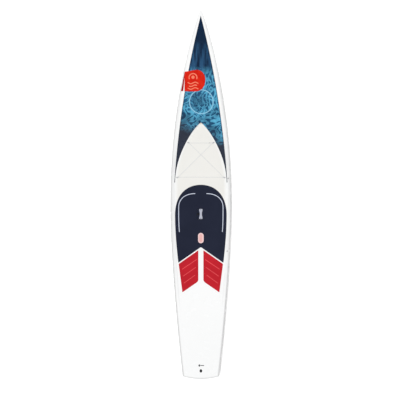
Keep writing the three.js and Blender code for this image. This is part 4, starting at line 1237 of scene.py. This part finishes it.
def make_bungee():
    path = curve_through(bungee_points(), lambda length: max(int(length / 1.6), 3))
    along = np.gradient(path, axis=0)
    along /= np.linalg.norm(along, axis=1)[:, None]
    side = np.cross(along, (0, 0, 1))
    side /= np.linalg.norm(side, axis=1)[:, None]
    up = np.cross(side, along)
    walked = np.concatenate([[0], np.cumsum(np.linalg.norm(np.diff(path, axis=0), axis=1))])
    turn = full_turn(CORD_SIDES)
    pitch = walked[:, None] / CORD_PITCH
    slant = CORD_STRANDS * turn / 2
    strands = np.maximum(np.sin(slant + pitch), np.sin(slant - pitch))
    radius = (CORD_RADIUS * (0.955 + 0.045 * strands))[:, :, None]
    around = side[:, None] * np.cos(turn)[:, None] + up[:, None] * np.sin(turn)[:, None]
    rings = path[:, None] + radius * around
    cord = Shape().rings(rings).object("bungee_cord_braid", BOARD)
    mesh = cord.data
    layer = mesh.uv_layers.new(name="route")
    route = {}
    for v in mesh.vertices:
        ring, step = divmod(v.index, CORD_SIDES)
        route[v.index] = (step / CORD_SIDES, walked[min(ring, len(walked) - 1)] / CORD_REPEAT)
    for face in mesh.polygons:
        turns = [route[v][0] for v in face.vertices]
        wraps = max(turns) - min(turns) > 0.5
        for loop, v, u in zip(face.loop_indices, face.vertices, turns):
            layer.data[loop].uv = (u + 1 if wraps and u < 0.5 else u, route[v][1])
    stand_in("bungee_cord", cord, "cord")

    place = Matrix.Translation(path[0] - (0.3, 0, 0)) @ Matrix.Rotation(math.pi / 2, 4, "Y")
    sleeve = [(2.65, -7), (3.7, -7), (4, -6.6), (4, -4.6), (3.5, -3.9), (3.5, -2.9), (4, -2.2), (4, 2.2),
              (3.5, 2.9), (3.5, 3.9), (4, 4.6), (4, 6.6), (3.7, 7), (2.65, 7), (2.65, -7)]
    ferrule = hollow(sleeve, 36).object("bungee_ferrule_fine", BOARD @ place)
    stand_in("bungee_ferrule", ferrule, "steel")
    for corner, (x, y) in BUNGEE_CORNERS.items():
        name, place = f"bungee_{corner}", deck_frame(x, y)
        add_insert(name, place)
        add_eye(name, place, eye_turn(1 if x > 0 else -1, corner.startswith("front")))
        add_screw(f"{name}_screw", place, 3.0, 15)


def make_plugs():
    for name, spot in STRAP_PLUGS.items():
        place = deck_frame(*spot)
        add_insert(name, place, "mid_grey")
        add_screw(f"{name}_screw", place, 0.2, 15)
    cup = slot_solid([(-7, -22), (-5, -21.7), (-3.6, -20.6), (-3, -19), (-3, -0.6), (-2.7, 0.3), (-2.1, 0.8),
                      (-1.2, 0.9), (-0.4, 0.7), (0, 0.1), (0, -24), (-1, -25)], *LEASH_CUP_SIZE)
    cup = carve(cup.object("leash_cup_fine", LEASH), [leash_rod(14.5, 2.3)], LEASH)
    stand_in("leash_cup", cup, "black")
    pin = leash_rod(13, 2).object("leash_pin_fine", LEASH)
    stand_in("leash_pin", pin, "steel")


def leash_rod(reach, radius):
    profile = [(0, -reach), (radius - 0.3, -reach), (radius, 0.3 - reach), (radius, reach - 0.3),
               (radius - 0.3, reach), (0, reach)]
    place = shift(0, 0, -7) @ Matrix.Rotation(math.pi / 2, 4, "Y")
    return turned(profile, 32).moved(place)


# ---------------------------------------------------------------- fin

def fin_blade():
    shares = (1 - np.cos(np.linspace(0, np.pi, 25))) / 2
    levels = np.concatenate([np.linspace(0, 0.9, 31), 1 - 0.1 * (1 - np.linspace(0, 1, 12)[1:]) ** 1.8])
    rings = []
    for level in levels:
        chord = (150 - 106 * level ** 1.2) * (1 - 0.55 * level ** 14)
        lead = 75 - 104 * level ** 1.45 - 44 / 3 * level ** 14
        girth = 9 * (1 - 0.55 * level) * (1 - 0.75 * level ** 24)
        u = shares
        half = girth * (1.4845 * np.sqrt(u) - 0.63 * u - 1.758 * u ** 2 + 1.4215 * u ** 3 - 0.5075 * u ** 4)
        half = half + 0.25 * u
        right = np.column_stack([half, lead - u * chord])
        loop = np.concatenate([right, (right * (-1, 1))[:0:-1]])
        rings.append(np.column_stack([loop, np.full(len(loop), -1 - 227 * level)]))
    return Shape().rings(rings)


def make_fin():
    blade = fin_blade().object("fin_fine", FIN)
    tab = [box(9.2, 150, 23, (0, 0, 9.5)), box(9.2, 26, 4, (0, 86, 4.6))]
    carve(blade, tab, FIN, "UNION", 40)
    hole = cylinder(SCREW_HOLE, -1, 20, 24).moved(shift(0, FIN_SCREW_AHEAD, 0))
    pin = cylinder(2.5, -6, 6, 24)
    pin.moved(shift(0, -66, 11) @ Matrix.Rotation(math.pi / 2, 4, "Y"))
    carve(blade, [hole, pin], FIN, sharp=40)
    stand_in("fin", blade, "fin", "fin")
    add_screw("fin_screw", FIN @ shift(0, FIN_SCREW_AHEAD, 2.3), 0, 12, "fin_screw", flip=True)

    case = slot_solid([(-0.6, 0.2), (-0.1, 0.4), (0, 0.9), (0, 27.5), (-0.5, 28)], *FIN_BOX_SIZE)
    case = case.object("fin_box_fine", FIN_BOX)
    tools = [slot_solid([(0.6, -1), (0.5, 0.2), (0, 0.9), (0, 23)], 240, 10), box(15.4, 230, 6, (0, 0, 11)),
             box(15.4, 16, 14, (0, 60, 6))]
    carve(case, tools, FIN_BOX)
    stand_in("fin_box", case, "black")


# ---------------------------------------------------------------- CAD pieces that stay

KEPT = {"handle_block": "dense", "leash_block": "dense", "fin_box_block": "dense", "stringer": "wood",
        "vent_membrane": "membrane", "vent_o_ring": "rubber", "fin_roll_pin": "brass", "fin_plate": "steel"}


def dress_kept_nodes():
    for name, finish in KEPT.items():
        node = frame["nodes"][name]
        for slot in node.material_slots:
            slot.material = finishes[finish]
        if not node.material_slots:
            raise RuntimeError(f"{name} has no material slot")


# ---------------------------------------------------------------- stage

def make_floor():
    mesh = bpy.data.meshes.new("floor")
    corners = [(x * FLOOR_REACH, y * FLOOR_REACH, 0) for x, y in ((-1, -1), (1, -1), (1, 1), (-1, 1))]
    mesh.from_pydata(corners, [], [(0, 1, 2, 3)])
    floor = linked("floor", mesh)
    paint = Finish("floor_paint", (0.97, 0.97, 0.97), 0.9, Specular_IOR_Level=0.0)
    mesh.materials.append(paint.material)


def add_light(name, kind, place, energy, **settings):
    data = bpy.data.lights.new(name, kind)
    data.energy = energy
    for setting, value in settings.items():
        setattr(data, setting, value)
    lamp = linked(name, data)
    lamp.location = place
    lamp.rotation_euler = Vector(place).to_track_quat("Z", "Y").to_euler()
    return lamp


def make_lights():
    """A pale room, one lamp almost straight above the deck, and a softbox for glints on the rails."""
    world = bpy.data.worlds.new("studio")
    world.use_nodes = True
    background = world.node_tree.nodes["Background"]
    background.inputs["Color"].default_value = (1, 1, 1, 1)
    background.inputs["Strength"].default_value = 0.15
    bpy.context.scene.world = world
    above = BOARD.to_3x3() @ Vector((-math.sin(math.radians(SUN_TILT)), 0, 1))
    key = add_light("key", "SUN", above.normalized() * 12, 3.15, angle=math.radians(9))
    key.visible_glossy = False
    add_light("softbox", "AREA", (-7, 4, 5), 30, shape="DISK", size=3)
    bpy.context.scene.view_settings.view_transform = "Standard"


def make_camera():
    """Looks straight at the deck, a touch from the right, from far off."""
    lean = math.radians(CAMERA_LEAN)
    target = BOARD @ Vector((-0.87 * PIXEL, -4.58 * PIXEL, 120))
    turn = BOARD.to_3x3().normalized()
    back = turn @ Vector((math.sin(lean), 0, math.cos(lean)))
    ahead = turn @ Vector((0, 1, 0))
    data = bpy.data.cameras.new("camera")
    data.sensor_width = SENSOR
    data.lens = SENSOR * CAMERA_DISTANCE / (PICTURE * PIXEL)
    data.clip_end = 200
    camera = linked("camera", data)
    matrix = Matrix((ahead.cross(back), ahead, back)).transposed().to_4x4()
    matrix.translation = target + back * CAMERA_DISTANCE * MM
    camera.matrix_world = matrix
    bpy.context.scene.camera = camera


make_camera()
make_lights()
make_floor()
make_bungee()
make_hull()
make_nose_print()
make_nose_patch()
make_tail_mark()
make_pads()
make_handle()
make_plugs()
make_fin()
dress_kept_nodes()
